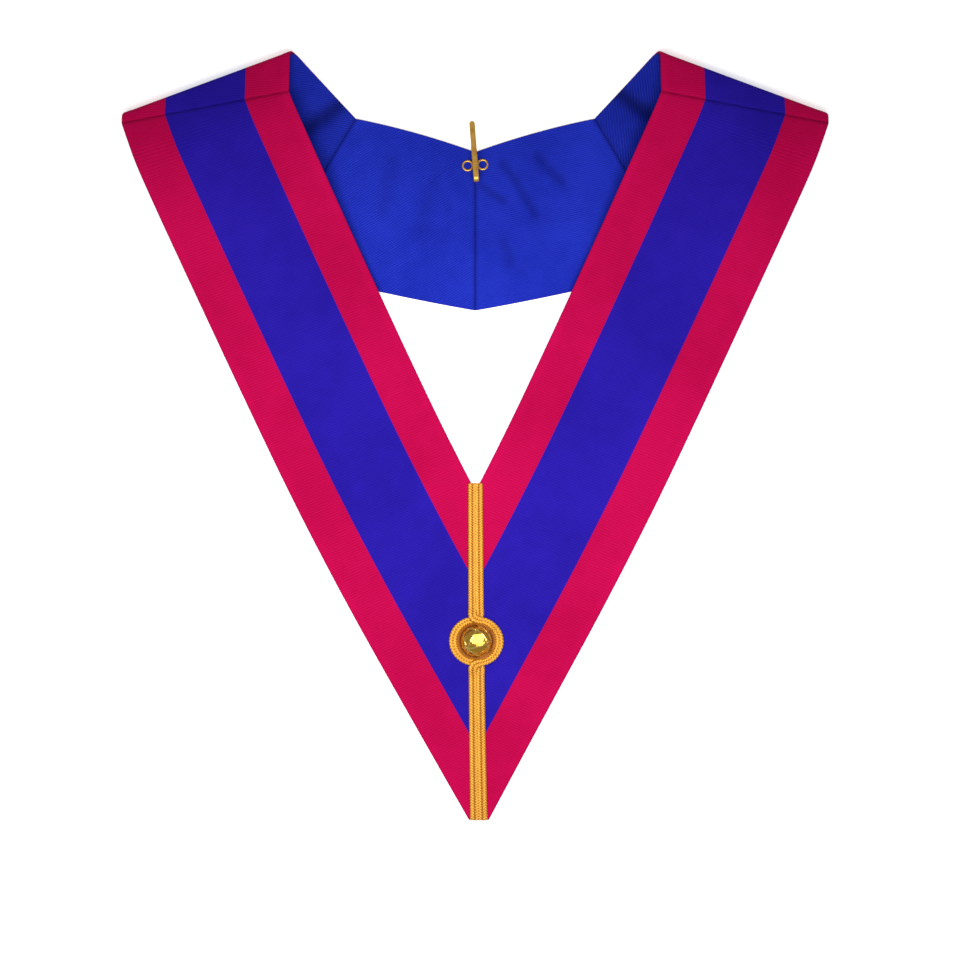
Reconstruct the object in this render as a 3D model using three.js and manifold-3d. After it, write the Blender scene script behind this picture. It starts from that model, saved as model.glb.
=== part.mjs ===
// Regalia collar of striped ribbon, laid out on a table with both shoulders folded back.
// Millimetres. X runs across the collar, Y from the tip to the neck, Z up.
// The outline is drawn for one half, with x outward from the middle line and y = 0 where the
// shoulder crease meets the neck edge, and mirrored for the other half.
import * as THREE from "three";
import Module from "manifold-3d";

const wasm = await Module();
wasm.setup();

const degree = Math.PI / 180;

// Ribbon and lining
const ribbonWidth = 103.4;
const edgeStripe = 27;
const ribbonWall = 1.2;
const liningWall = 1;
const pieceGap = 0.3;
const halfGap = pieceGap / 2;
const ribbonOut = halfGap + ribbonWall;
const liningIn = halfGap + liningWall;

// Shoulder
const neckHalfWidth = 114;
const creaseSlope = 20.3 * degree;
const shoulderFront = 25.1;
const shoulderBack = 52.4;
const backTurn = 43.2 * degree;

// Fold of the shoulder, seen along its crease
const foldInsideRadius = 1.5;
const foldHeight = 8.2;
const foldFrontRise = 19 * degree;
const foldBackFall = 10 * degree;
const foldRadius = foldInsideRadius + liningIn;

// Front arms
const armLean = 20.6 * degree;
const armCurveLength = 330;
// Bends of the inner edge, in shares of its length down to where it runs straight
const armBends = [
  { from: 0, to: 0.036, turn: 3.5 * degree },
  { from: 0.182, to: 0.727, turn: 1.6 * degree },
  { from: 0.606, to: 1, turn: 3.25 * degree },
];
const tipFlat = 12.4;
const tipSway = 2.3;
const swayGrowth = 4;
const frontLoft = 17;
const loftShare = 0.31;
// Rise of the front off the table, in shares of the way from the crease to the tip
const frontRise = [
  { inward: 0.05, height: 0.92 },
  { inward: 0.093, height: 1 },
  { inward: 0.145, height: 0.93 },
  { inward: 0.217, height: 0.66 },
  { inward: 0.31, height: 0.38 },
  { inward: 0.434, height: 0.22 },
  { inward: 0.6, height: 0.11 },
  { inward: 0.765, height: 0.04 },
  { inward: 0.89, height: 0 },
  { inward: 1, height: 0 },
];

// Back of the neck
const backRun = 48;
const backDip = 20.8;
const centreBackLength = 98;
const topEdgeBow = 1.5;
const bottomEdgeBow = 1.6;
const backHump = 5;
const puckerFade = 0.25;
// Places and lengths in shares of the half's top edge and of the centre back seam, depths of the hump
const puckers = [
  { side: 1, across: 0.3, along: 0.72, lengthwise: 0.175, crosswise: 0.265, depth: 0.22 },
  { side: 1, across: 0.12, along: 0.45, lengthwise: 0.12, crosswise: 0.205, depth: 0.14 },
  { side: 1, across: 0.62, along: 0.76, lengthwise: 0.107, crosswise: 0.184, depth: 0.12 },
  { side: -1, across: 0.45, along: 0.55, lengthwise: 0.215, crosswise: 0.347, depth: 0.1 },
];

// Gold braid down the front
const strandWidthTop = 4.4;
const strandWidthTip = 5.2;
const strandThickness = 1.5;
const strandEdge = 0.7;
const ringOuterHalfWidth = 16.9;
const ringOuterHalfLength = 15.5;
const ringFromTip = 111;
const ringParting = 20 * degree;
const crossRun = 0.7;
const liftRun = 5;
const braidAboveNotch = 5;
const ribCrown = 0.12;

// Domed button
const buttonRadius = 9.6;
const buttonHeight = 8.4;
const buttonRim = 1.7;
const buttonClearance = 0.4;
const ridgeRadius = 0.42;
const ridgeDetail = 0.03;
const globeTilt = 38 * degree;
const globeTurn = -52 * degree;
const globeParallels = [{ latitude: -8 * degree }, { latitude: 16 * degree }, { latitude: -34 * degree }];
const globeMeridians = [{ turn: 0 }, { turn: 62 * degree }, { turn: 124 * degree }];

// Neck hook
const hookWidth = 3.5;
const hookThickness = 1.8;
const hookMouth = 2.2;
const hookShank = 8.4;
const hookReach = 27;
const hookTilt = 4.3 * degree;
const hookEndTurn = 82 * degree;
const hookSquareness = 0.8;
const hookFromTopEdge = 8.6;
const eyeletWire = 1.25;
const eyeletOutside = 7.2;
const eyeletSpread = 9.3;

// Mesh divisions
const stripeCells = [2, 3, 2];
const liningCells = 5;
const loftRows = 14;
const armRows = 9;
const frontRows = 4;
const foldRows = 8;
const backRows = 9;
const panelRows = 11;
const ringRows = 14;
const crossRows = 4;
const braidTopRows = 6;
const braidTipRows = 7;
const bendRows = 8;
const hookEndRows = 4;
const hookSides = 10;
const eyeletSides = 8;
const eyeletSteps = 18;
const latheSides = 24;
const domeRows = 6;
const ridgeSides = 4;
const ridgeSteps = 36;

// Colours
const crimson = 0xc40a50;
const ribbonBlue = 0x2a1c9e;
const liningBlue = 0x1f2fb0;
const braidGold = 0xe9a437;
const giltMetal = 0xd9aa3c;
const brassWire = 0xc0923c;

// Steps of the numerical work
const slopeStep = 0.05;
const halvings = 40;

const clamp = (value, low, high) => Math.min(high, Math.max(low, value));
const mix = (a, b, share) => a + (b - a) * share;
const smooth = (share) => share * share * (3 - 2 * share);
const shares = (count) => Array.from({ length: count + 1 }, (_, i) => i / count);

// A smooth curve through rows of a table, as height against distance
function curveThrough(points, firstSlope) {
  const slopes = points.map((point, i) => {
    if (i === 0) return firstSlope;
    if (i === points.length - 1) return 0;
    const before = points[i - 1];
    const after = points[i + 1];
    const rising = (point.z - before.z) * (after.z - point.z) > 0;
    return rising ? (after.z - before.z) / (after.n - before.n) : 0;
  });
  return (n) => {
    const last = points.length - 1;
    if (n >= points[last].n) return points[last].z;
    const i = Math.max(0, points.findIndex((point) => point.n > n) - 1);
    const a = points[i];
    const b = points[i + 1];
    const run = b.n - a.n;
    const t = (n - a.n) / run;
    const bump = t * (1 - t) * run;
    const line = mix(a.z, b.z, smooth(t));
    return line + bump * ((1 - t) * slopes[i] - t * slopes[i + 1]);
  };
}

// Plan of one half
const mitreSlope = armLean / 2;
const creaseAlong = new THREE.Vector2(Math.cos(creaseSlope), -Math.sin(creaseSlope));
const creaseInward = new THREE.Vector2(-Math.sin(creaseSlope), -Math.cos(creaseSlope));
const creaseStart = new THREE.Vector2(neckHalfWidth, 0);
const inwardOf = (point) => point.clone().sub(creaseStart).dot(creaseInward);
const onCrease = (along, inward) =>
  creaseStart.clone().addScaledVector(creaseAlong, along).addScaledVector(creaseInward, inward);

// Inner edge of a front arm, as straights and arcs, and the lines that run beside it
const armStart = new THREE.Vector2(neckHalfWidth, -shoulderFront);
const armBreaks = [...new Set([0, ...armBends.flatMap((bend) => [bend.from, bend.to])])]
  .sort((a, b) => a - b)
  .map((share) => share * armCurveLength);
const leanAt = (t) =>
  armBends.reduce((sum, bend) => {
    const turned = (t / armCurveLength - bend.from) / (bend.to - bend.from);
    return sum + bend.turn * clamp(turned, 0, 1);
  }, armLean);

function armEdge(t) {
  const before = Math.min(t, 0);
  const point = armStart.clone();
  point.x -= before * Math.sin(armLean);
  point.y -= before * Math.cos(armLean);
  armBreaks.forEach((from, i) => {
    const to = Math.min(t, armBreaks[i + 1] ?? t);
    if (to <= from) return;
    const first = leanAt(from);
    const turn = leanAt(to) - first;
    const chord = turn ? ((to - from) * Math.sin(turn / 2)) / (turn / 2) : to - from;
    const heading = first + turn / 2;
    point.x -= chord * Math.sin(heading);
    point.y -= chord * Math.cos(heading);
  });
  return point;
}

function armPoint(fromOuterEdge, t) {
  const lean = leanAt(t);
  const out = ribbonWidth - fromOuterEdge;
  return armEdge(t).add(new THREE.Vector2(out * Math.cos(lean), -out * Math.sin(lean)));
}

// The first t at which a test of the line's point turns negative
function crossing(fromOuterEdge, start, test) {
  let low = start;
  let high = start + edgeStripe;
  while (test(armPoint(fromOuterEdge, high)) > 0) {
    low = high;
    high += edgeStripe;
  }
  for (let i = 0; i < halvings; i += 1) {
    const middle = (low + high) / 2;
    if (test(armPoint(fromOuterEdge, middle)) > 0) low = middle;
    else high = middle;
  }
  return high;
}

const seamDown = new THREE.Vector2(-Math.sin(mitreSlope), -Math.cos(mitreSlope));
const belowSeam = (point) => point.clone().sub(armStart).dot(seamDown);
const tipReach = crossing(0, 0, (point) => point.x - tipFlat / 2);
const tipPoint = new THREE.Vector2(0, armPoint(0, tipReach).y);
const notchPoint = new THREE.Vector2(0, armPoint(ribbonWidth, crossing(ribbonWidth, 0, (p) => p.x)).y);
const armDepth = inwardOf(tipPoint);
const loftDepth = loftShare * armDepth;
const armStop = (point) => Math.min(point.x - halfGap, point.y - tipPoint.y);

// Lean of the whole front towards one side, growing to the tip
const sway = (y) => {
  const share = clamp((armStart.y - y) / (armStart.y - tipPoint.y), 0, 1);
  return tipSway * share ** swayGrowth;
};

// Heights of the middle surface, between ribbon and lining
const foldCentre = new THREE.Vector2(foldRadius, foldHeight);
const frontTip = liningIn;
const backSeat = ribbonOut;
const frontLeave = foldCentre.x - foldRadius * Math.sin(foldFrontRise);
const backLeave = foldCentre.x - foldRadius * Math.sin(foldBackFall);
const frontHeight = curveThrough(
  [
    { n: frontLeave, z: foldHeight + foldRadius * Math.cos(foldFrontRise) },
    ...frontRise.map((row) => ({
      n: row.inward * armDepth,
      z: frontTip + row.height * frontLoft,
    })),
  ],
  Math.tan(foldFrontRise),
);
const backHeight = curveThrough(
  [
    { n: backLeave, z: foldHeight - foldRadius * Math.cos(foldBackFall) },
    { n: backRun, z: backSeat },
  ],
  -Math.tan(foldBackFall),
);

// A sample of the middle surface: its place and the way out through the ribbon
function surfaceSample(point, heightAt, up) {
  const dx = new THREE.Vector2(slopeStep, 0);
  const dy = new THREE.Vector2(0, slopeStep);
  const risesX = heightAt(point.clone().add(dx)) - heightAt(point.clone().sub(dx));
  const risesY = heightAt(point.clone().add(dy)) - heightAt(point.clone().sub(dy));
  const out = new THREE.Vector3(-risesX, -risesY, 2 * slopeStep).normalize();
  return {
    place: new THREE.Vector3(point.x, point.y, heightAt(point)),
    out: out.multiplyScalar(up),
  };
}
const frontSample = (point) => surfaceSample(point, (at) => frontHeight(inwardOf(at)), 1);

// Plan of the shoulder behind the crease
const backWay = new THREE.Vector2(-Math.sin(backTurn), -Math.cos(backTurn));
const foldArc = Math.PI - foldFrontRise - foldBackFall;
const foldSlide = foldArc * foldRadius * Math.tan(creaseSlope);
const backSlide = Math.tan(backTurn - creaseSlope);
const backStart = (fromOuterEdge) => {
  const along = (ribbonWidth - fromOuterEdge) / Math.cos(creaseSlope);
  return onCrease(along - foldSlide - backLeave * backSlide, backLeave);
};
const neckCorner = backStart(ribbonWidth).addScaledVector(backWay, shoulderBack);
const panelSlope = Math.atan2(backDip, neckCorner.x);
const panelHeading = Math.PI / 2 - panelSlope;
const backSeamHeading = (backTurn + panelHeading) / 2;
const backSeamInward = new THREE.Vector2(-Math.sin(backSeamHeading), -Math.cos(backSeamHeading));
const beforeBackSeam = (point) => neckCorner.clone().sub(point).dot(backSeamInward);
const backEnd = (fromOuterEdge, gap) => {
  const start = backStart(fromOuterEdge);
  const run = (beforeBackSeam(start) - gap) / backWay.dot(backSeamInward);
  return start.addScaledVector(backWay, run);
};

// One line of the shoulder from the front seam, over the crease, to the back seam
function shoulderLine(fromOuterEdge) {
  const across = ribbonWidth - fromOuterEdge;
  const atCrease = onCrease(across / Math.cos(creaseSlope), 0);
  const seamY = armStart.y - across * Math.tan(mitreSlope) + halfGap / Math.cos(mitreSlope);
  const frontEnd = new THREE.Vector2(atCrease.x, seamY);
  const frontStart = new THREE.Vector2(atCrease.x, atCrease.y - frontLeave / Math.cos(creaseSlope));
  const samples = shares(frontRows).map((share) =>
    frontSample(frontEnd.clone().lerp(frontStart, share)),
  );
  const foldStart = frontStart.clone().sub(creaseStart).dot(creaseAlong);
  const backFirst = backStart(fromOuterEdge);
  const foldEnd = backFirst.clone().sub(creaseStart).dot(creaseAlong);
  shares(foldRows)
    .slice(1, -1)
    .forEach((share) => {
      const angle = Math.PI / 2 + foldFrontRise + foldArc * share;
      const inward = Math.cos(angle);
      const rise = Math.sin(angle);
      const plan = onCrease(mix(foldStart, foldEnd, share), foldCentre.x + foldRadius * inward);
      samples.push({
        place: new THREE.Vector3(plan.x, plan.y, foldHeight + foldRadius * rise),
        out: new THREE.Vector3(creaseInward.x * inward, creaseInward.y * inward, rise),
      });
    });
  const backLast = backEnd(fromOuterEdge, halfGap);
  shares(backRows).forEach((share) => {
    const point = backFirst.clone().lerp(backLast, share);
    samples.push(surfaceSample(point, (at) => backHeight(inwardOf(at)), -1));
  });
  return samples;
}

// One line of the back of the neck from the shoulder seam to the middle seam
const panelTop = [neckCorner, new THREE.Vector2(0, neckCorner.y - backDip)];
const panelBottom = [backEnd(0, 0), new THREE.Vector2(0, panelTop[1].y - centreBackLength)];
const panelPoint = (across, along) => {
  const bow = 4 * along * (1 - along);
  const top = panelTop[0].clone().lerp(panelTop[1], along);
  const bottom = panelBottom[0].clone().lerp(panelBottom[1], along);
  top.y += topEdgeBow * bow;
  bottom.y -= bottomEdgeBow * bow;
  return top.lerp(bottom, across);
};
const puckerHeight = (side, across, along) =>
  puckers
    .filter((row) => row.side === side)
    .reduce((sum, row) => {
      const lengthwise = (along - row.along) / row.lengthwise;
      const crosswise = (across - row.across) / row.crosswise;
      return sum + backHump * row.depth * Math.exp(-(lengthwise ** 2) - crosswise ** 2);
    }, 0);
function panelPlace(side, across, along) {
  const plan = panelPoint(across, along);
  const grown = smooth(clamp(along, 0, 1));
  const faded = grown * clamp((1 - along) / puckerFade, 0, 1);
  const hump = backHump * Math.sin(Math.PI * across) * grown;
  const pucker = puckerHeight(side, across, along) * faded * Math.sin(Math.PI * across);
  return new THREE.Vector3(plan.x, plan.y, backHeight(inwardOf(plan)) + hump + pucker);
}
// The panel's middle surface over a plan point near the middle seam
function panelOver(side, x, y) {
  let across = (panelTop[1].y - y) / centreBackLength;
  let along = 1;
  for (let i = 0; i < halvings; i += 1) {
    along = 1 - x / mix(panelTop[0].x, panelBottom[0].x, across);
    across += (panelPoint(across, along).y - y) / centreBackLength;
  }
  return panelPlace(side, across, along);
}
function panelLine(side, fromOuterEdge) {
  const across = 1 - fromOuterEdge / ribbonWidth;
  const line = panelPoint(across, 0).distanceTo(panelPoint(across, 1));
  const seamCut = halfGap / Math.sin(backSeamHeading) / line;
  const middleCut = halfGap / Math.cos(panelSlope) / line;
  return shares(panelRows).map((share) => {
    const along = mix(seamCut, 1 - middleCut, share);
    const step = slopeStep / ribbonWidth;
    const place = panelPlace(side, across, along);
    const down = panelPlace(side, across + step, along).sub(place);
    const inward = panelPlace(side, across, along + step).sub(place);
    return { place, out: inward.cross(down).normalize().multiplyScalar(-1) };
  });
}

// One line of a front arm from the shoulder seam to the middle seam or the flat of the tip
function armLine(fromOuterEdge) {
  const start = crossing(fromOuterEdge, -ribbonWidth, (point) => halfGap - belowSeam(point));
  const settled = crossing(fromOuterEdge, start, (point) => loftDepth - inwardOf(point));
  const end = crossing(fromOuterEdge, settled, armStop);
  const places = [
    ...shares(loftRows).map((share) => mix(start, settled, share)),
    ...shares(armRows).slice(1).map((share) => mix(settled, end, share)),
  ];
  return places.map((t) => frontSample(armPoint(fromOuterEdge, t)));
}

// A closed solid between two offsets of a sheet of samples
function sheetSolid(lines, inner, outer, place) {
  const columns = lines.length;
  const rows = lines[0].length;
  const positions = [];
  [inner, outer].forEach((offset) => {
    lines.forEach((line) =>
      line.forEach((sample) => {
        const point = sample.place.clone().addScaledVector(sample.out, offset);
        positions.push(...place(point).toArray());
      }),
    );
  });
  const at = (layer, column, row) => (layer * columns + column) * rows + row;
  const index = [];
  const quad = (a, b, c, d) => index.push(a, b, c, a, c, d);
  for (let c = 0; c < columns - 1; c += 1) {
    for (let r = 0; r < rows - 1; r += 1) {
      quad(at(1, c, r), at(1, c + 1, r), at(1, c + 1, r + 1), at(1, c, r + 1));
      quad(at(0, c, r), at(0, c, r + 1), at(0, c + 1, r + 1), at(0, c + 1, r));
    }
    quad(at(0, c, 0), at(0, c + 1, 0), at(1, c + 1, 0), at(1, c, 0));
    quad(at(1, c, rows - 1), at(1, c + 1, rows - 1), at(0, c + 1, rows - 1), at(0, c, rows - 1));
  }
  for (let r = 0; r < rows - 1; r += 1) {
    quad(at(1, 0, r), at(1, 0, r + 1), at(0, 0, r + 1), at(0, 0, r));
    const c = columns - 1;
    quad(at(0, c, r), at(0, c, r + 1), at(1, c, r + 1), at(1, c, r));
  }
  return facingOut(positions, index);
}

// A closed solid swept through rings of points, with flat ends
function sweptSolid(rings, place) {
  const sides = rings[0].length;
  const positions = rings.flatMap((ring) => ring.flatMap((point) => place(point).toArray()));
  const index = [];
  for (let r = 0; r < rings.length - 1; r += 1) {
    for (let s = 0; s < sides; s += 1) {
      const next = (s + 1) % sides;
      const a = r * sides + s;
      const b = r * sides + next;
      index.push(a, b, b + sides, a, b + sides, a + sides);
    }
  }
  const last = (rings.length - 1) * sides;
  const outline = rings[0].map((_, s) => s);
  const flat = rings[0].map((point) => new THREE.Vector2(point.section.x, point.section.y));
  THREE.ShapeUtils.triangulateShape(flat, []).forEach(([a, b, c]) => {
    index.push(outline[c], outline[b], outline[a]);
    index.push(last + outline[a], last + outline[b], last + outline[c]);
  });
  return facingOut(positions, index);
}

// An indexed geometry whose faces point outward
function facingOut(positions, index) {
  const corner = (i) => new THREE.Vector3().fromArray(positions, 3 * i);
  let volume = 0;
  for (let i = 0; i < index.length; i += 3) {
    const [a, b, c] = [0, 1, 2].map((k) => corner(index[i + k]));
    volume += a.dot(b.cross(c));
  }
  if (volume < 0) {
    for (let i = 0; i < index.length; i += 3) {
      [index[i + 1], index[i + 2]] = [index[i + 2], index[i + 1]];
    }
  }
  const geometry = new THREE.BufferGeometry();
  geometry.setAttribute("position", new THREE.Float32BufferAttribute(positions, 3));
  geometry.setIndex(index);
  return geometry;
}

const collar = new THREE.Group();
collar.name = "collar";

function addPiece(name, geometry, color, roughness, metalness) {
  geometry.computeVertexNormals();
  const material = new THREE.MeshStandardMaterial({ color, roughness, metalness });
  const mesh = new THREE.Mesh(geometry, material);
  mesh.name = name;
  collar.add(mesh);
}

const addCloth = (name, geometry, color) => addPiece(name, geometry, color, 0.75, 0);
const addMetal = (name, geometry, color, roughness) => addPiece(name, geometry, color, roughness, 1);

// Ribbon stripes, measured from the outer edge
const stripes = [
  { name: "outer", from: 0, to: edgeStripe - halfGap, color: crimson },
  {
    name: "middle",
    from: edgeStripe + halfGap,
    to: ribbonWidth - edgeStripe - halfGap,
    color: ribbonBlue,
  },
  { name: "inner", from: ribbonWidth - edgeStripe + halfGap, to: ribbonWidth, color: crimson },
];
// The outer stripe has a line through the corner of the tip's flat
const tipCorner = (tipFlat / 2 - halfGap) * Math.cos(leanAt(tipReach));
const columnsOf = (stripe, cells) => {
  const columns = shares(cells).map((share) => mix(stripe.from, stripe.to, share));
  return stripe.from < tipCorner ? [columns[0], tipCorner, ...columns.slice(1)] : columns;
};
const fullWidth = { from: 0, to: ribbonWidth };

const halves = [
  { name: "left", side: -1 },
  { name: "right", side: 1 },
];
const lengths = [
  { name: "front", line: (side, from) => armLine(from), swayed: true },
  { name: "shoulder", line: (side, from) => shoulderLine(from), swayed: false },
  { name: "back", line: (side, from) => panelLine(side, from), swayed: false },
];
for (const half of halves) {
  for (const length of lengths) {
    const place = (point) => {
      const shift = length.swayed ? sway(point.y) : 0;
      return new THREE.Vector3(half.side * point.x + shift, point.y, point.z);
    };
    const linesOf = (stripe, cells) =>
      columnsOf(stripe, cells).map((from) => length.line(half.side, from));
    stripes.forEach((stripe, i) => {
      const solid = sheetSolid(linesOf(stripe, stripeCells[i]), halfGap, ribbonOut, place);
      addCloth(`ribbon_${length.name}_${half.name}_${stripe.name}`, solid, stripe.color);
    });
    const lining = sheetSolid(linesOf(fullWidth, liningCells), -liningIn, -halfGap, place);
    addCloth(`lining_${length.name}_${half.name}`, lining, liningBlue);
  }
}

// Route of one strand of braid: beside the middle line, across it, round half of the ring,
// back across it and on to the tip
const ringCentreY = tipPoint.y + ringFromTip;
const ringInnerHalf = buttonRadius + buttonClearance;
const ringTop = ringCentreY + ringOuterHalfLength;
const ringBottom = ringCentreY - ringOuterHalfLength;
const braidTop = notchPoint.y + braidAboveNotch;
const strandWidthAt = (y) =>
  mix(strandWidthTop, strandWidthTip, clamp((braidTop - y) / (braidTop - tipPoint.y), 0, 1));
function strandRoute(side, over) {
  const beside = (y) => side * (strandWidthAt(y) + pieceGap) / 2;
  const lift = over ? strandThickness + pieceGap : 0;
  const route = [];
  const ringWidth = (angle) => {
    const outer = Math.hypot(ringOuterHalfWidth * Math.sin(angle), ringOuterHalfLength * Math.cos(angle));
    return outer - ringInnerHalf;
  };
  const onRing = (angle) => {
    const middle = ringInnerHalf + ringWidth(angle) / 2;
    return {
      x: -side * middle * Math.sin(angle),
      y: ringCentreY + middle * Math.cos(angle),
      width: ringWidth(angle),
    };
  };
  const straight = (from, to, rows) =>
    shares(rows).forEach((share) => {
      const y = mix(from, to, share);
      route.push({ x: beside(y), y, width: strandWidthAt(y), lift: 0 });
    });
  // The strand drops steeply beside the straight run and flattens out towards the ring
  const cross = (run, ring, toRing) =>
    shares(crossRows).forEach((share) => {
      const down = toRing ? share : 1 - share;
      const x = mix(run.x, ring.x, smooth(down));
      const y = mix(run.y, ring.y, down * (2 - down));
      route.push({ x, y, width: mix(run.width, ring.width, down), lift });
    });
  const runEnd = (y) => ({ x: beside(y), y, width: strandWidthAt(y) });
  const high = runEnd(ringTop + crossRun);
  const low = runEnd(ringBottom - crossRun);
  straight(braidTop, high.y + liftRun, braidTopRows);
  cross(high, onRing(ringParting), true);
  shares(ringRows)
    .slice(1, -1)
    .forEach((share) => {
      const angle = mix(ringParting, Math.PI - ringParting, share);
      const fromEnd = Math.min(share, 1 - share) * Math.PI * ringInnerHalf;
      const settled = clamp(fromEnd / liftRun - 1, 0, 1);
      route.push({ ...onRing(angle), lift: lift * (1 - smooth(settled)) });
    });
  cross(low, onRing(Math.PI - ringParting), false);
  straight(low.y - liftRun, tipPoint.y, braidTipRows);
  return route;
}

// Section of a strand: a flat foot and two rounded ribs
const strandSection = [
  { across: 1, high: 0 },
  { across: 1, high: strandEdge },
  { across: 0.8, high: 1 },
  { across: 0.5, high: 1, crowned: true },
  { across: 0.22, high: 1 },
  { across: 0, high: strandEdge },
  { across: -0.22, high: 1 },
  { across: -0.5, high: 1, crowned: true },
  { across: -0.8, high: 1 },
  { across: -1, high: strandEdge },
  { across: -1, high: 0 },
];
function strandSolid(side, over) {
  const route = strandRoute(side, over);
  const rings = route.map((row, i) => {
    const before = route[Math.max(0, i - 1)];
    const after = route[Math.min(route.length - 1, i + 1)];
    const along = new THREE.Vector2(after.x - before.x, after.y - before.y).normalize();
    const across = new THREE.Vector2(along.y, -along.x);
    const seat = new THREE.Vector2(Math.abs(row.x), row.y);
    const base = frontHeight(inwardOf(seat)) + ribbonOut + pieceGap + row.lift;
    return strandSection.map((part) => {
      const offset = (part.across * row.width) / 2;
      const rib = part.high * strandThickness;
      const crown = part.crowned ? ribCrown : 0;
      const point = new THREE.Vector3(
        row.x + across.x * offset,
        row.y + across.y * offset,
        base + rib + crown,
      );
      point.section = { x: part.across, y: part.high };
      return point;
    });
  });
  return sweptSolid(rings, (point) => new THREE.Vector3(point.x + sway(point.y), point.y, point.z));
}
addPiece("braid_strand_over", strandSolid(-1, true), braidGold, 0.45, 0.6);
addPiece("braid_strand_under", strandSolid(1, false), braidGold, 0.45, 0.6);

// Manifold solids from three.js geometry and back
function toManifold(geometry) {
  const source = geometry.index ? geometry.toNonIndexed() : geometry;
  const positions = source.getAttribute("position").array;
  const seen = new Map();
  const points = [];
  const triangles = [];
  for (let i = 0; i < positions.length; i += 3) {
    const point = [positions[i], positions[i + 1], positions[i + 2]];
    const key = point.map((value) => Math.round(value * 1e4)).join();
    if (!seen.has(key)) {
      seen.set(key, points.length / 3);
      points.push(...point);
    }
    triangles.push(seen.get(key));
  }
  const whole = [];
  for (let i = 0; i < triangles.length; i += 3) {
    const [a, b, c] = triangles.slice(i, i + 3);
    if (a !== b && b !== c && c !== a) whole.push(a, b, c);
  }
  return new wasm.Manifold(
    new wasm.Mesh({
      numProp: 3,
      vertProperties: new Float32Array(points),
      triVerts: new Uint32Array(whole),
    }),
  );
}
function fromManifold(solid) {
  const mesh = solid.getMesh();
  const positions = [];
  for (let i = 0; i < mesh.vertProperties.length; i += mesh.numProp) {
    positions.push(...mesh.vertProperties.slice(i, i + 3));
  }
  return facingOut(positions, Array.from(mesh.triVerts));
}

// Domed button, with raised lines as on a globe that leans to one side
function buttonSolid() {
  const domeHeight = buttonHeight - buttonRim;
  const globeRadius = (buttonRadius ** 2 + domeHeight ** 2) / (2 * domeHeight);
  const globeCentre = buttonHeight - globeRadius;
  const rimAngle = Math.atan2(buttonRim - globeCentre, buttonRadius);
  const profile = [
    new THREE.Vector2(0, 0),
    new THREE.Vector2(buttonRadius, 0),
    ...shares(domeRows).map((share) => {
      const angle = mix(rimAngle, Math.PI / 2, share);
      const radius = share === 1 ? 0 : globeRadius * Math.cos(angle);
      return new THREE.Vector2(radius, globeCentre + globeRadius * Math.sin(angle));
    }),
  ];
  const body = new THREE.LatheGeometry(profile, latheSides).rotateX(Math.PI / 2);
  const positions = Array.from(body.getAttribute("position").array);
  const dome = toManifold(facingOut(positions, Array.from(body.index.array)));
  const lean = new THREE.Matrix4()
    .makeTranslation(0, 0, globeCentre)
    .multiply(new THREE.Matrix4().makeRotationZ(globeTurn))
    .multiply(new THREE.Matrix4().makeRotationX(globeTilt));
  const circle = (radius, turn, shift) => {
    const ridge = new THREE.TorusGeometry(radius, ridgeRadius, ridgeSides, ridgeSteps);
    ridge.applyMatrix4(turn).translate(0, 0, shift).applyMatrix4(lean);
    return toManifold(ridge);
  };
  const ridges = [
    ...globeParallels.map((row) =>
      circle(
        globeRadius * Math.cos(row.latitude),
        new THREE.Matrix4(),
        globeRadius * Math.sin(row.latitude),
      ),
    ),
    ...globeMeridians.map((row) => {
      const upright = new THREE.Matrix4().makeRotationX(Math.PI / 2);
      return circle(globeRadius, new THREE.Matrix4().makeRotationZ(row.turn).multiply(upright), 0);
    }),
  ];
  const room = new wasm.Manifold.cylinder(
    buttonHeight,
    buttonRadius,
    buttonRadius,
    latheSides,
  ).translate(0, 0, buttonRim);
  const solid = dome.add(wasm.Manifold.union(ridges).intersect(room));
  return fromManifold(solid.simplify(ridgeDetail));
}
const buttonSeat = new THREE.Vector2(0, ringCentreY);
const buttonSample = frontSample(buttonSeat);
const buttonFall = Math.atan2(-buttonSample.out.y, buttonSample.out.z);
const button = buttonSolid()
  .rotateX(buttonFall)
  .translate(sway(ringCentreY), ringCentreY, buttonSample.place.z + ribbonOut + pieceGap);
addMetal("button", button, giltMetal, 0.25);

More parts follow.
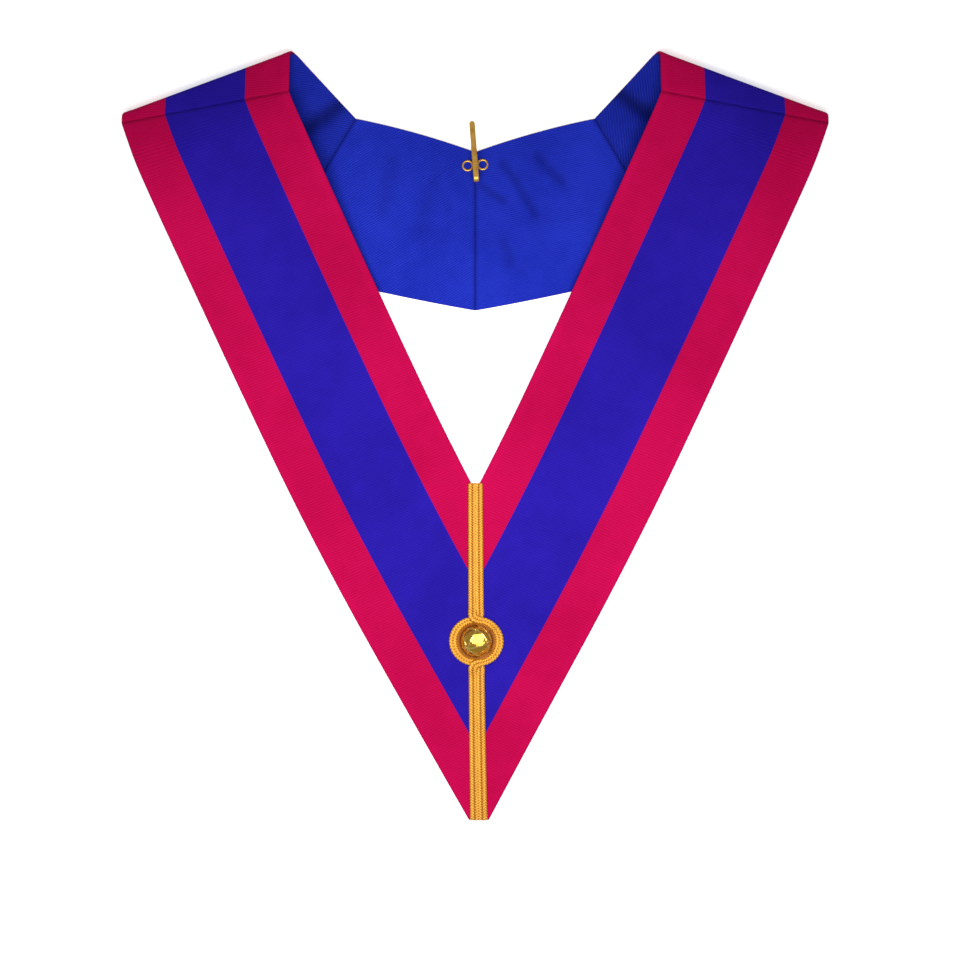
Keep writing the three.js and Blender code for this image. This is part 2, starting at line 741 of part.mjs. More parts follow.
// Neck hook: two eyelets, a shank, a bend and a long free arm, in one piece of wire
function hookSolid() {
  const bend = (hookMouth + hookThickness) / 2;
  const path = [
    { y: 0, z: hookThickness / 2, turn: 0, width: hookWidth },
    { y: -hookShank, z: hookThickness / 2, turn: 0, width: hookWidth },
  ];
  shares(bendRows)
    .slice(1)
    .forEach((share) => {
      const angle = Math.PI * share;
      path.push({
        y: -hookShank - bend * Math.sin(angle),
        z: hookThickness / 2 + bend * (1 - Math.cos(angle)),
        turn: angle,
        width: hookWidth,
      });
    });
  const endRadius = hookWidth / 2;
  const armHeight = hookThickness / 2 + 2 * bend;
  shares(hookEndRows).forEach((share) => {
    const angle = share * hookEndTurn;
    path.push({
      y: hookReach - endRadius + endRadius * Math.sin(angle),
      z: armHeight,
      turn: Math.PI,
      width: hookWidth * Math.cos(angle),
    });
  });
  const squared = (value) => Math.sign(value) * Math.abs(value) ** hookSquareness;
  const rings = path.map((row) =>
    shares(hookSides)
      .slice(1)
      .map((share) => {
        const angle = 2 * Math.PI * share;
        const across = (row.width / 2) * squared(Math.cos(angle));
        const thick = (hookThickness / 2) * squared(Math.sin(angle));
        const point = new THREE.Vector3(
          across,
          row.y + thick * Math.sin(row.turn),
          row.z + thick * Math.cos(row.turn),
        );
        point.section = { x: across, y: thick };
        return point;
      }),
  );
  let solid = toManifold(sweptSolid(rings, (point) => point));
  [-1, 1].forEach((side) => {
    const eyelet = new THREE.TorusGeometry(
      (eyeletOutside - eyeletWire) / 2,
      eyeletWire / 2,
      eyeletSides,
      eyeletSteps,
    );
    eyelet.translate((side * eyeletSpread) / 2, 0, eyeletWire / 2);
    solid = solid.add(toManifold(eyelet));
  });
  return fromManifold(solid);
}
const hookY = panelTop[1].y - hookFromTopEdge;
const eyeletEnd = (eyeletSpread + eyeletOutside) / 2;
const hookSeat = panelOver(1, eyeletEnd, hookY);
const hookNext = panelOver(1, eyeletEnd, hookY - hookShank);
const hookFall = Math.atan2(hookNext.z - hookSeat.z, hookShank);
const hook = hookSolid()
  .rotateZ(hookTilt)
  .rotateX(-hookFall)
  .translate(0, hookY, hookSeat.z + liningIn / Math.cos(hookFall) + pieceGap);
addMetal("neck_hook", hook, brassWire, 0.35);

// The frame stands at the middle of the box that holds the collar, on the table
collar.updateMatrixWorld(true);
const box = new THREE.Box3().setFromObject(collar, true);
const centre = box.getCenter(new THREE.Vector3());
collar.children.forEach((mesh) => mesh.geometry.translate(-centre.x, -centre.y, -box.min.z));

export default collar;
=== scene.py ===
"""Regalia collar of striped ribbon, laid out on a table with both shoulders folded back."""

import math

import bpy
import numpy as np
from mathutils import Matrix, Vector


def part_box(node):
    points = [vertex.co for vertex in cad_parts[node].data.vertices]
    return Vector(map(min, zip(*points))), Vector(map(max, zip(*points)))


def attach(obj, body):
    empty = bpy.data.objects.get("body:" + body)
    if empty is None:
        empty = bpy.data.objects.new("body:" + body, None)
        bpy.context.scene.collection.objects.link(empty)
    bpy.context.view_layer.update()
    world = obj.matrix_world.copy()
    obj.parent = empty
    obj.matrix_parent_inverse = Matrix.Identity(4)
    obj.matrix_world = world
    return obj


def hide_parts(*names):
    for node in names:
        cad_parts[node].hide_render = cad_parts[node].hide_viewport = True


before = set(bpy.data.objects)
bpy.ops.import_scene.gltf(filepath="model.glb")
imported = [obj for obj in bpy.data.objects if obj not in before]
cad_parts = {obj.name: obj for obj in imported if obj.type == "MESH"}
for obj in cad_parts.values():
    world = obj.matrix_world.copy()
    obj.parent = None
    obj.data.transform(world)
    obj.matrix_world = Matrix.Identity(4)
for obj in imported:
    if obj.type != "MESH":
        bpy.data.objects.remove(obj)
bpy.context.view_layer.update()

MM = 0.001
DEGREE = math.pi / 180
TURN = 2 * math.pi

# Camera, straight above the table
CAMERA_HEIGHT = 1200
CAMERA_OVER = (3.0, -27.0)
CAMERA_LENS = 72.4

# Ribbon and lining
RIBBON_WIDTH = 103.4
EDGE_STRIPE = 27
HALF_GAP = 0.15
SEAM_GAP = -0.04
RIBBON_OUT = 1.35
LINING_IN = 1.15
LINING_INSET = 0.12
LINING_OVER = 0.12

# Shoulder
NECK_HALF_WIDTH = 114
CREASE_SLOPE = 20.3 * DEGREE
SHOULDER_FRONT = 25.1
SHOULDER_BACK = 52.4
BACK_TURN = 43.2 * DEGREE
FOLD_RADIUS = 2.65
FOLD_HEIGHT = 8.2
FOLD_FRONT_RISE = 19 * DEGREE
FOLD_BACK_FALL = 10 * DEGREE

# Front arms
ARM_LEAN = 20.6 * DEGREE
ARM_CURVE_LENGTH = 330
# Bends of the inner edge, in shares of that length
ARM_BENDS = [
    (0, 0.036, 3.5 * DEGREE),
    (0.182, 0.727, 1.6 * DEGREE),
    (0.606, 1, 3.25 * DEGREE),
]
TIP_FLAT = 12.4
TIP_SWAY = 2.3
SWAY_GROWTH = 4
FRONT_LOFT = 17
# Share of the way from crease to tip, and share of the loft
FRONT_RISE = [
    *[(0.05, 0.92), (0.093, 1), (0.145, 0.93), (0.217, 0.66), (0.31, 0.38)],
    *[(0.434, 0.22), (0.6, 0.11), (0.765, 0.04), (0.89, 0), (1, 0)],
]

# Back of the neck
BACK_RUN = 48
BACK_DIP = 20.8
CENTRE_BACK = 98
TOP_EDGE_BOW = 1.5
BOTTOM_EDGE_BOW = 1.6
BACK_HUMP = 5
PUCKER_FADE = 0.25
# Side, across, along, lengthwise and crosswise size, depth, in shares
PUCKERS = [
    (1, 0.3, 0.72, 0.175, 0.265, 0.22),
    (1, 0.12, 0.45, 0.12, 0.205, 0.14),
    (1, 0.62, 0.76, 0.107, 0.184, 0.12),
    (-1, 0.45, 0.55, 0.215, 0.347, 0.1),
]

# Braid, button and hook
STRAND_TOP = 4.4
STRAND_TIP = 5.2
STRAND_THICKNESS = 1.5
RING_HALF_WIDTH = 16.9
RING_HALF_LENGTH = 15.5
RING_FROM_TIP = 111
RING_PARTING = 20 * DEGREE
CROSS_RUN = 0.7
LIFT_RUN = 5
BRAID_ABOVE_NOTCH = 5
STRAND_GAP = -0.5
STRAND_SWELL = 0.7
PLAIT_PITCH = 1.66
BUTTON_RADIUS = 9.6
BUTTON_HEIGHT = 8.4
BUTTON_RIM = 1.7
BUTTON_CLEARANCE = 0.4
GLOBE_TILT = 38 * DEGREE
GLOBE_TURN = -52 * DEGREE
GLOBE_PARALLELS = [-8 * DEGREE, 16 * DEGREE, -34 * DEGREE]
GLOBE_MERIDIANS = [0, 62 * DEGREE, 124 * DEGREE]
RIDGE_HEIGHT = 0.42
RIDGE_HALF_WIDTH = 0.42
HOOK_WIDTH = 3.5
HOOK_THICKNESS = 1.8
HOOK_MOUTH = 2.2
HOOK_SHANK = 8.4
HOOK_REACH = 27
HOOK_TILT = 4.3 * DEGREE
HOOK_END_TURN = 86 * DEGREE
HOOK_SQUARENESS = 0.8
HOOK_FROM_TOP = 8.6
EYELET_WIRE = 1.25
EYELET_OUTSIDE = 7.2
EYELET_SPREAD = 9.3
PIECE_GAP = 0.3


def smooth(share):
    return share * share * (3 - 2 * share)


def fade(value, low, high):
    return smooth(np.clip((value - low) / (high - low), 0, 1))


def circle(count):
    return np.linspace(0, TURN, count, endpoint=False)


def running(steps):
    """Running totals of some steps, from 0."""
    return np.concatenate([[0], np.cumsum(steps)])


def curve_through(rows, first_slope):
    """A smooth curve through the rows of a table, as height against distance."""
    n, z = np.array(rows, float).T
    slopes = np.zeros(len(rows))
    slopes[0] = first_slope
    for i in range(1, len(rows) - 1):
        if (z[i] - z[i - 1]) * (z[i + 1] - z[i]) > 0:
            slopes[i] = (z[i + 1] - z[i - 1]) / (n[i + 1] - n[i - 1])

    def height(at):
        at = np.asarray(at, float)
        i = np.clip(np.searchsorted(n, at, side="right") - 1, 0, len(n) - 2)
        run = n[i + 1] - n[i]
        t = (at - n[i]) / run
        line = z[i] + (z[i + 1] - z[i]) * smooth(t)
        value = line + t * (1 - t) * run * ((1 - t) * slopes[i] - t * slopes[i + 1])
        return np.where(at >= n[-1], z[-1], value)

    return height


# Plan of one half, x outward from the middle line and y = 0 at the neck end of the crease
MITRE_SLOPE = ARM_LEAN / 2
CREASE_ALONG = np.array([math.cos(CREASE_SLOPE), -math.sin(CREASE_SLOPE)])
CREASE_INWARD = np.array([-math.sin(CREASE_SLOPE), -math.cos(CREASE_SLOPE)])
CREASE_START = np.array([NECK_HALF_WIDTH, 0.0])
ARM_START = np.array([NECK_HALF_WIDTH, -float(SHOULDER_FRONT)])


def inward_of(points):
    return (points - CREASE_START) @ CREASE_INWARD


def on_crease(along, inward):
    along = np.asarray(along, float)[..., None]
    inward = np.asarray(inward, float)[..., None]
    return CREASE_START + along * CREASE_ALONG + inward * CREASE_INWARD


# Distances down the inner edge of a front arm, from behind the seam to past the tip
EDGE_T = np.arange(-140, 640, 0.25)
SEAM_SEARCH_START = -110


def lean_at(t):
    lean = np.full_like(np.asarray(t, float), ARM_LEAN)
    for start, stop, turn in ARM_BENDS:
        lean = lean + turn * np.clip((t / ARM_CURVE_LENGTH - start) / (stop - start), 0, 1)
    return lean


def inner_edge():
    """The inner edge of a front arm, at each of EDGE_T."""
    lean = lean_at((EDGE_T[1:] + EDGE_T[:-1]) / 2)
    step = np.diff(EDGE_T)
    x, y = running(-np.sin(lean) * step), running(-np.cos(lean) * step)
    x += ARM_START[0] - np.interp(0, EDGE_T, x)
    y += ARM_START[1] - np.interp(0, EDGE_T, y)
    return x, y


EDGE_X, EDGE_Y = inner_edge()


def arm_point(from_outer, t):
    lean = lean_at(t)
    out = RIBBON_WIDTH - from_outer
    x = np.interp(t, EDGE_T, EDGE_X) + out * np.cos(lean)
    y = np.interp(t, EDGE_T, EDGE_Y) - out * np.sin(lean)
    return np.stack([x, y], -1)


def crossing(from_outer, start, test):
    """The first t at which a test of the line's point turns negative."""
    t = EDGE_T[EDGE_T >= start]
    values = test(arm_point(from_outer, t))
    i = max(1, int(np.argmax(values < 0)))
    share = values[i - 1] / (values[i - 1] - values[i])
    return t[i - 1] + share * (t[i] - t[i - 1])


SEAM_DOWN = np.array([-math.sin(MITRE_SLOPE), -math.cos(MITRE_SLOPE)])
TIP_Y = arm_point(0, crossing(0, 0, lambda p: p[:, 0] - TIP_FLAT / 2))[1]
NOTCH_Y = arm_point(RIBBON_WIDTH, crossing(RIBBON_WIDTH, 0, lambda p: p[:, 0]))[1]
ARM_DEPTH = float(inward_of(np.array([0.0, TIP_Y])))
NECK_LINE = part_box("ribbon_front_left_outer")[0].y / MM - TIP_Y

FRONT_LEAVE = FOLD_RADIUS - FOLD_RADIUS * math.sin(FOLD_FRONT_RISE)
BACK_LEAVE = FOLD_RADIUS - FOLD_RADIUS * math.sin(FOLD_BACK_FALL)
front_height = curve_through(
    [(FRONT_LEAVE, FOLD_HEIGHT + FOLD_RADIUS * math.cos(FOLD_FRONT_RISE))]
    + [(share * ARM_DEPTH, LINING_IN + height * FRONT_LOFT) for share, height in FRONT_RISE],
    math.tan(FOLD_FRONT_RISE),
)
back_height = curve_through(
    [
        (BACK_LEAVE, FOLD_HEIGHT - FOLD_RADIUS * math.cos(FOLD_BACK_FALL)),
        (BACK_RUN, RIBBON_OUT),
    ],
    -math.tan(FOLD_BACK_FALL),
)


def sway(y):
    share = np.clip((ARM_START[1] - y) / (ARM_START[1] - TIP_Y), 0, 1)
    return TIP_SWAY * share**SWAY_GROWTH


def lifted(plan, height):
    return np.concatenate([plan, np.asarray(height)[..., None]], -1)


def front_surface(plan):
    return lifted(plan, front_height(inward_of(plan)))


# Rows of a cloth sheet lie close together beside its edges and seams
NEAR_ROWS = np.array([0, 0.15, 0.4, 0.75, 1.2, 1.9, 2.8, 4, 5.4])


def spread(length, count):
    middle = np.linspace(NEAR_ROWS[-1], length - NEAR_ROWS[-1], count + 1)
    return np.concatenate([NEAR_ROWS[:-1], middle, length - NEAR_ROWS[-2::-1]])


ARM_ROWS = 120
ARM_COLUMNS = 34
FRONT_FOLD_ROWS = 8
FOLD_ROWS = 14
BACK_ROWS = 24
PANEL_ROWS = 46
SETTLING_ROUNDS = 40


def arm_grid(columns):
    lines, ends = [], []
    for from_outer in columns:
        start = crossing(
            from_outer, SEAM_SEARCH_START, lambda p: SEAM_GAP - (p - ARM_START) @ SEAM_DOWN
        )
        end = crossing(
            from_outer, start, lambda p: np.minimum(p[:, 0] - SEAM_GAP, p[:, 1] - TIP_Y)
        )
        run = spread(end - start, ARM_ROWS)
        lines.append(front_surface(arm_point(from_outer, start + run)))
        ends.append(np.stack([run, end - start - run], -1))
    return np.array(lines), np.array(ends)


BACK_WAY = np.array([-math.sin(BACK_TURN), -math.cos(BACK_TURN)])
FOLD_ARC = math.pi - FOLD_FRONT_RISE - FOLD_BACK_FALL
FOLD_SLIDE = FOLD_ARC * FOLD_RADIUS * math.tan(CREASE_SLOPE)
BACK_SLIDE = math.tan(BACK_TURN - CREASE_SLOPE)


def back_start(from_outer):
    along = (RIBBON_WIDTH - from_outer) / math.cos(CREASE_SLOPE)
    return on_crease(along - FOLD_SLIDE - BACK_LEAVE * BACK_SLIDE, BACK_LEAVE)


NECK_CORNER = back_start(RIBBON_WIDTH) + SHOULDER_BACK * BACK_WAY
PANEL_SLOPE = math.atan2(BACK_DIP, NECK_CORNER[0])
BACK_SEAM_HEADING = (BACK_TURN + math.pi / 2 - PANEL_SLOPE) / 2
BACK_SEAM_INWARD = np.array([-math.sin(BACK_SEAM_HEADING), -math.cos(BACK_SEAM_HEADING)])


def back_end(from_outer, gap):
    start = back_start(from_outer)
    run = ((NECK_CORNER - start) @ BACK_SEAM_INWARD - gap) / (BACK_WAY @ BACK_SEAM_INWARD)
    return start + run * BACK_WAY


def shoulder_grid(columns):
    lines, ends = [], []
    for from_outer in columns:
        across = RIBBON_WIDTH - from_outer
        crease = on_crease(across / math.cos(CREASE_SLOPE), 0)
        seam_y = ARM_START[1] - across * math.tan(MITRE_SLOPE) + SEAM_GAP / math.cos(MITRE_SLOPE)
        front_end = np.array([crease[0], seam_y])
        front_start = np.array([crease[0], crease[1] - FRONT_LEAVE / math.cos(CREASE_SLOPE)])
        front_run = front_start[1] - front_end[1]
        rows = np.linspace(NEAR_ROWS[-1], front_run, FRONT_FOLD_ROWS)
        rows = np.concatenate([NEAR_ROWS[:-1], rows])
        front = front_surface(front_end + (rows / front_run)[:, None] * (front_start - front_end))
        fold_start = (front_start - CREASE_START) @ CREASE_ALONG
        back_first = back_start(from_outer)
        fold_end = (back_first - CREASE_START) @ CREASE_ALONG
        share = np.linspace(0, 1, FOLD_ROWS + 1)[1:-1]
        angle = math.pi / 2 + FOLD_FRONT_RISE + FOLD_ARC * share
        plan = on_crease(
            fold_start + (fold_end - fold_start) * share,
            FOLD_RADIUS + FOLD_RADIUS * np.cos(angle),
        )
        fold = lifted(plan, FOLD_HEIGHT + FOLD_RADIUS * np.sin(angle))
        back_last = back_end(from_outer, SEAM_GAP)
        back_run = float(np.linalg.norm(back_last - back_first))
        rows = np.concatenate(
            [np.linspace(0, back_run - NEAR_ROWS[-1], BACK_ROWS), back_run - NEAR_ROWS[-2::-1]]
        )
        plan = back_first + (rows / back_run)[:, None] * (back_last - back_first)
        back = lifted(plan, back_height(inward_of(plan)))
        line = np.concatenate([front, fold, back])
        run = running(np.linalg.norm(np.diff(line, axis=0), axis=1))
        lines.append(line)
        ends.append(np.stack([run, run[-1] - run], -1))
    return np.array(lines), np.array(ends)


PANEL_TOP = [NECK_CORNER, np.array([0, NECK_CORNER[1] - BACK_DIP])]
PANEL_BOTTOM = [back_end(0, 0), np.array([0, PANEL_TOP[1][1] - CENTRE_BACK])]


def panel_point(across, along):
    across, along = across[..., None], along[..., None]
    bow = 4 * along * (1 - along)
    top = PANEL_TOP[0] + along * (PANEL_TOP[1] - PANEL_TOP[0])
    bottom = PANEL_BOTTOM[0] + along * (PANEL_BOTTOM[1] - PANEL_BOTTOM[0])
    top = top + bow * [0, TOP_EDGE_BOW]
    return top + across * (bottom - bow * [0, BOTTOM_EDGE_BOW] - top)


def panel_place(side, across, along):
    across, along = np.broadcast_arrays(np.asarray(across, float), np.asarray(along, float))
    plan = panel_point(across, along)
    grown = smooth(np.clip(along, 0, 1))
    faded = grown * np.clip((1 - along) / PUCKER_FADE, 0, 1)
    pucker = np.zeros_like(across)
    for its_side, at_across, at_along, lengthwise, crosswise, depth in PUCKERS:
        if its_side == side:
            u, v = (along - at_along) / lengthwise, (across - at_across) / crosswise
            pucker = pucker + BACK_HUMP * depth * np.exp(-u * u - v * v)
    arch = np.sin(math.pi * across)
    height = back_height(inward_of(plan)) + (BACK_HUMP * grown + pucker * faded) * arch
    return lifted(plan, height)


def panel_grid(side, columns):
    lines, ends = [], []
    for from_outer in columns:
        across = 1 - from_outer / RIBBON_WIDTH
        first, last = panel_point(np.full(2, across), np.array([0.0, 1.0]))
        length = float(np.linalg.norm(last - first))
        start = SEAM_GAP / math.sin(BACK_SEAM_HEADING)
        stop = length - SEAM_GAP / math.cos(PANEL_SLOPE)
        run = spread(stop - start, PANEL_ROWS)
        lines.append(panel_place(side, across, (start + run) / length))
        ends.append(np.stack([run, stop - start - run], -1))
    return np.array(lines), np.array(ends)


def panel_over(side, x, y):
    """The place of the back of the neck over a plan point near its middle seam."""
    across = (PANEL_TOP[1][1] - y) / CENTRE_BACK
    for _ in range(SETTLING_ROUNDS):
        seam_x = PANEL_TOP[0][0] + (PANEL_BOTTOM[0][0] - PANEL_TOP[0][0]) * across
        along = 1 - x / seam_x
        across += (panel_point(np.array(across), np.array(along))[1] - y) / CENTRE_BACK
    return panel_place(side, across, along)


def in_frame(points, side=1, swayed=True):
    """Points of one half in the shared frame, in millimetres."""
    x, y, z = (points[..., i] for i in range(3))
    shift = sway(y) if swayed else 0
    return np.stack([side * x + shift, y + NECK_LINE, z], -1)


def ways_out(grid, up):
    """Unit ways out of a grid of points, on the side where the first row faces up or down."""
    across = np.gradient(grid, axis=0)
    along = np.gradient(grid, axis=1)
    out = np.cross(across, along)
    out /= np.linalg.norm(out, axis=-1, keepdims=True)
    return out if out[:, 0, 2].mean() * up > 0 else -out


# Materials
def grow(tree, kind, **settings):
    node = tree.nodes.new(kind)
    for name, value in settings.items():
        setattr(node, name, value)
    return node


def plug(tree, value, socket):
    if isinstance(value, bpy.types.NodeSocket):
        tree.links.new(value, socket)
    else:
        socket.default_value = value


def feed(tree, node, *values):
    """Plugs values into the first sockets of a node and gives its first output."""
    for i, value in enumerate(values):
        plug(tree, value, node.inputs[i])
    return node.outputs[0]


def reckon(tree, operation, *values):
    return feed(tree, grow(tree, "ShaderNodeMath", operation=operation), *values)


def about(tree, value, middle, depth):
    """How far a value is from a middle one, times a depth."""
    return reckon(tree, "MULTIPLY", reckon(tree, "SUBTRACT", value, middle), depth)


def wave(tree, distance, pitch):
    """A soft wave from 0 to 1 along a distance."""
    turns = reckon(tree, "DIVIDE", distance, pitch)
    angle = reckon(tree, "MULTIPLY", turns, TURN)
    return reckon(tree, "MULTIPLY_ADD", reckon(tree, "SINE", angle), 0.5, 0.5)


def noise(tree, vector, scale, detail=2.0, roughness=0.5):
    node = grow(tree, "ShaderNodeTexNoise")
    plug(tree, vector, node.inputs["Vector"])
    plug(tree, scale, node.inputs["Scale"])
    node.inputs["Detail"].default_value = detail
    node.inputs["Roughness"].default_value = roughness
    return node.outputs["Fac"]


def blend_colour(tree, share, first, second):
    node = grow(tree, "ShaderNodeMix", data_type="RGBA")
    plug(tree, share, node.inputs["Factor"])
    for name, value in (("A", first), ("B", second)):
        socket = next(s for s in node.inputs if s.name == name and s.type == "RGBA")
        if not isinstance(value, bpy.types.NodeSocket):
            value = (*value, 1)
        plug(tree, value, socket)
    return next(s for s in node.outputs if s.type == "RGBA")


def span(tree, value, low, high, to_low=0.0, to_high=1.0):
    node = grow(tree, "ShaderNodeMapRange", interpolation_type="SMOOTHSTEP")
    return feed(tree, node, value, low, high, to_low, to_high)


def join_axes(tree, x, y):
    return feed(tree, grow(tree, "ShaderNodeCombineXYZ"), x, y)


# Millimetres of cloth to one unit of UV
UV_UNIT = 100.0
FIBRE_HEIGHT = 0.35
PATCH_SPAN = (0.35, 0.65)
RUBBING_STRETCH = (1.0, 9.0, 4.0)


def start_group(name, inputs, outputs):
    """A new node group. Its sockets are numbers, apart from the place, which is a vector."""
    tree = bpy.data.node_groups.new(name, "ShaderNodeTree")
    for way, labels in (("INPUT", inputs), ("OUTPUT", outputs)):
        for label in labels:
            kind = "NodeSocketVector" if label == "Place" else "NodeSocketFloat"
            tree.interface.new_socket(name=label, in_out=way, socket_type=kind)
    return tree, grow(tree, "NodeGroupInput").outputs, grow(tree, "NodeGroupOutput").inputs


def give_threads(tree, made, spot, threads, middle, patches, least, fibres, fibre_tone):
    """Gives out threads with loose fibres on them, and their tone, stronger in some patches."""
    loose = noise(tree, spot, fibres)
    plug(tree, reckon(tree, "MULTIPLY_ADD", loose, FIBRE_HEIGHT, threads), made["Height"])
    patch = span(tree, noise(tree, spot, patches), *PATCH_SPAN, least, 1.0)
    tone = about(tree, threads, middle, patch)
    loose = reckon(tree, "SUBTRACT", loose, 0.5)
    plug(tree, reckon(tree, "MULTIPLY_ADD", loose, fibre_tone, tone), made["Tone"])


def cord_weave_group():
    """Fine cords across the ribbon, bound by warp threads."""
    tree, given, made = start_group(
        "cord_weave", ("Across", "Along", "Cord Pitch", "Warp Pitch"), ("Height", "Tone")
    )
    spot = join_axes(tree, given["Across"], given["Along"])
    wander = about(tree, noise(tree, spot, 0.6), 0.5, 0.9)
    warp = wave(tree, given["Across"], given["Warp Pitch"])
    step = reckon(tree, "MULTIPLY", given["Across"], 0.12)
    along = reckon(tree, "ADD", reckon(tree, "ADD", given["Along"], step), wander)
    cord = wave(tree, along, given["Cord Pitch"])
    bound = reckon(tree, "MULTIPLY", cord, reckon(tree, "MULTIPLY_ADD", warp, 0.5, 0.5))
    give_threads(
        tree, made, spot, bound, middle=0.38, patches=0.28, least=0.35, fibres=5.5, fibre_tone=0.9
    )
    return tree


def twill_group():
    """Slanting ridges of a twill, broken into short floats."""
    tree, given, made = start_group(
        "twill_lines", ("Across", "Along", "Pitch", "Slant"), ("Height", "Tone")
    )

    def times(first, second):
        return reckon(tree, "MULTIPLY", first, second)

    across, along = given["Across"], given["Along"]
    spot = join_axes(tree, across, along)
    cosine = reckon(tree, "COSINE", given["Slant"])
    sine = reckon(tree, "SINE", given["Slant"])
    over = reckon(tree, "SUBTRACT", times(across, cosine), times(along, sine))
    beside = reckon(tree, "ADD", times(across, sine), times(along, cosine))
    wander = about(tree, noise(tree, spot, 0.35), 0.5, 1.2)
    ridge = wave(tree, reckon(tree, "ADD", over, wander), given["Pitch"])
    floats = wave(tree, beside, times(given["Pitch"], 0.7))
    ridge = times(ridge, reckon(tree, "MULTIPLY_ADD", floats, 0.3, 0.7))
    give_threads(
        tree, made, spot, ridge, middle=0.42, patches=0.12, least=0.45, fibres=4.5, fibre_tone=0.7
    )
    return tree


def dye_group():
    """Slow drift of the dye over the cloth, with a finer mottling in it."""
    tree, given, made = start_group("dye_drift", ("Place", "Scale"), ("Drift",))
    slow = noise(tree, given["Place"], given["Scale"], 1.0)
    fine = noise(tree, given["Place"], reckon(tree, "MULTIPLY", given["Scale"], 6.0))
    mixed = reckon(tree, "MULTIPLY_ADD", fine, 0.35, reckon(tree, "MULTIPLY", slow, 0.65))
    plug(tree, span(tree, mixed, 0.3, 0.7), made["Drift"])
    return tree


def edge_group():
    """Where a sheet's edge or seam is near: a thin line right on it and a wider soft shade."""
    tree, given, made = start_group(
        "edge_shade", ("Distance", "Line", "Reach"), ("On Line", "Near")
    )
    for reach, shade in (("Line", "On Line"), ("Reach", "Near")):
        plug(tree, span(tree, given["Distance"], 0.0, given[reach], 1.0, 0.0), made[shade])
    return tree


def wear_group():
    """Tarnish in clouds and fine rubbing marks on metal."""
    tree, given, made = start_group("metal_wear", ("Place", "Scale"), ("Tarnish", "Rubbing"))
    clouds = noise(tree, given["Place"], given["Scale"], 3.0, 0.6)
    plug(tree, span(tree, clouds, 0.42, 0.72), made["Tarnish"])
    stretch = grow(tree, "ShaderNodeVectorMath", operation="MULTIPLY")
    stretched = feed(tree, stretch, given["Place"], RUBBING_STRETCH)
    marks = noise(tree, stretched, reckon(tree, "MULTIPLY", given["Scale"], 3.0), 4.0, 0.7)
    plug(tree, marks, made["Rubbing"])
    return tree


CORD_WEAVE = cord_weave_group()
TWILL_LINES = twill_group()
DYE_DRIFT = dye_group()
EDGE_SHADE = edge_group()
METAL_WEAR = wear_group()


def place_group(tree, group, **values):
    node = grow(tree, "ShaderNodeGroup", node_tree=group)
    for name, value in values.items():
        plug(tree, value, node.inputs[name.replace("_", " ")])
    return node.outputs


def start_material(name, **constants):
    material = bpy.data.materials.new(name)
    material.use_nodes = True
    tree = material.node_tree
    shader = tree.nodes["Principled BSDF"]
    for label, value in constants.items():
        shader.inputs[label.replace("_", " ")].default_value = value
    return material, tree, shader.inputs


def mark(tree, name):
    """A number stored at the points of the mesh."""
    return grow(tree, "ShaderNodeAttribute", attribute_name=name).outputs["Fac"]


def on_piece(tree, group, scale):
    """A group that varies with the place on the piece."""
    place = grow(tree, "ShaderNodeTexCoord").outputs["Object"]
    return place_group(tree, group, Place=place, Scale=scale)


def cloth_measures(tree):
    """Across and along the cloth in millimetres."""
    parts = grow(tree, "ShaderNodeSeparateXYZ")
    feed(tree, parts, grow(tree, "ShaderNodeUVMap", uv_map="cloth").outputs[0])
    return [reckon(tree, "MULTIPLY", parts.outputs[i], UV_UNIT) for i in (0, 1)]


def finish_surface(tree, shader, colour, rough, height, strength, distance):
    """Colour, roughness from a tone, its factor and a level, and bump in millimetres."""
    plug(tree, colour, shader["Base Color"])
    plug(tree, reckon(tree, "MULTIPLY_ADD", *rough), shader["Roughness"])
    bump = grow(tree, "ShaderNodeBump")
    plug(tree, strength, bump.inputs["Strength"])
    plug(tree, distance * MM, bump.inputs["Distance"])
    plug(tree, height, bump.inputs["Height"])
    plug(tree, bump.outputs[0], shader["Normal"])


def shade_by(tree, colour, tone, depth):
    """A colour made lighter or darker by a tone times a depth."""
    node = grow(tree, "ShaderNodeVectorMath", operation="SCALE")
    plug(tree, colour, node.inputs[0])
    plug(tree, reckon(tree, "MULTIPLY_ADD", tone, depth, 1.0), node.inputs["Scale"])
    return node.outputs[0]


CRIMSON = (0.41, 0.0019, 0.056)
CRIMSON_DEEP = (0.35, 0.0012, 0.046)
BLUE = (0.0178, 0.008, 0.285)
BLUE_DEEP = (0.0135, 0.006, 0.232)
LINING_BLUE = (0.0125, 0.0262, 0.41)
LINING_DEEP = (0.0085, 0.0185, 0.33)
EDGE_NAVY = (0.022, 0.006, 0.12)
SELVEDGE = 4.6
CORD_PITCH = 1.55
WARP_PITCH = 1.25
STRIPE_BLUR = 0.2


def shade_seam(tree, colour, line, reach, on_line, near):
    seam = mark(tree, "seam_distance")
    shade = place_group(tree, EDGE_SHADE, Distance=seam, Line=line, Reach=reach)
    colour = shade_by(tree, colour, shade["On Line"], on_line)
    return shade_by(tree, colour, shade["Near"], near)


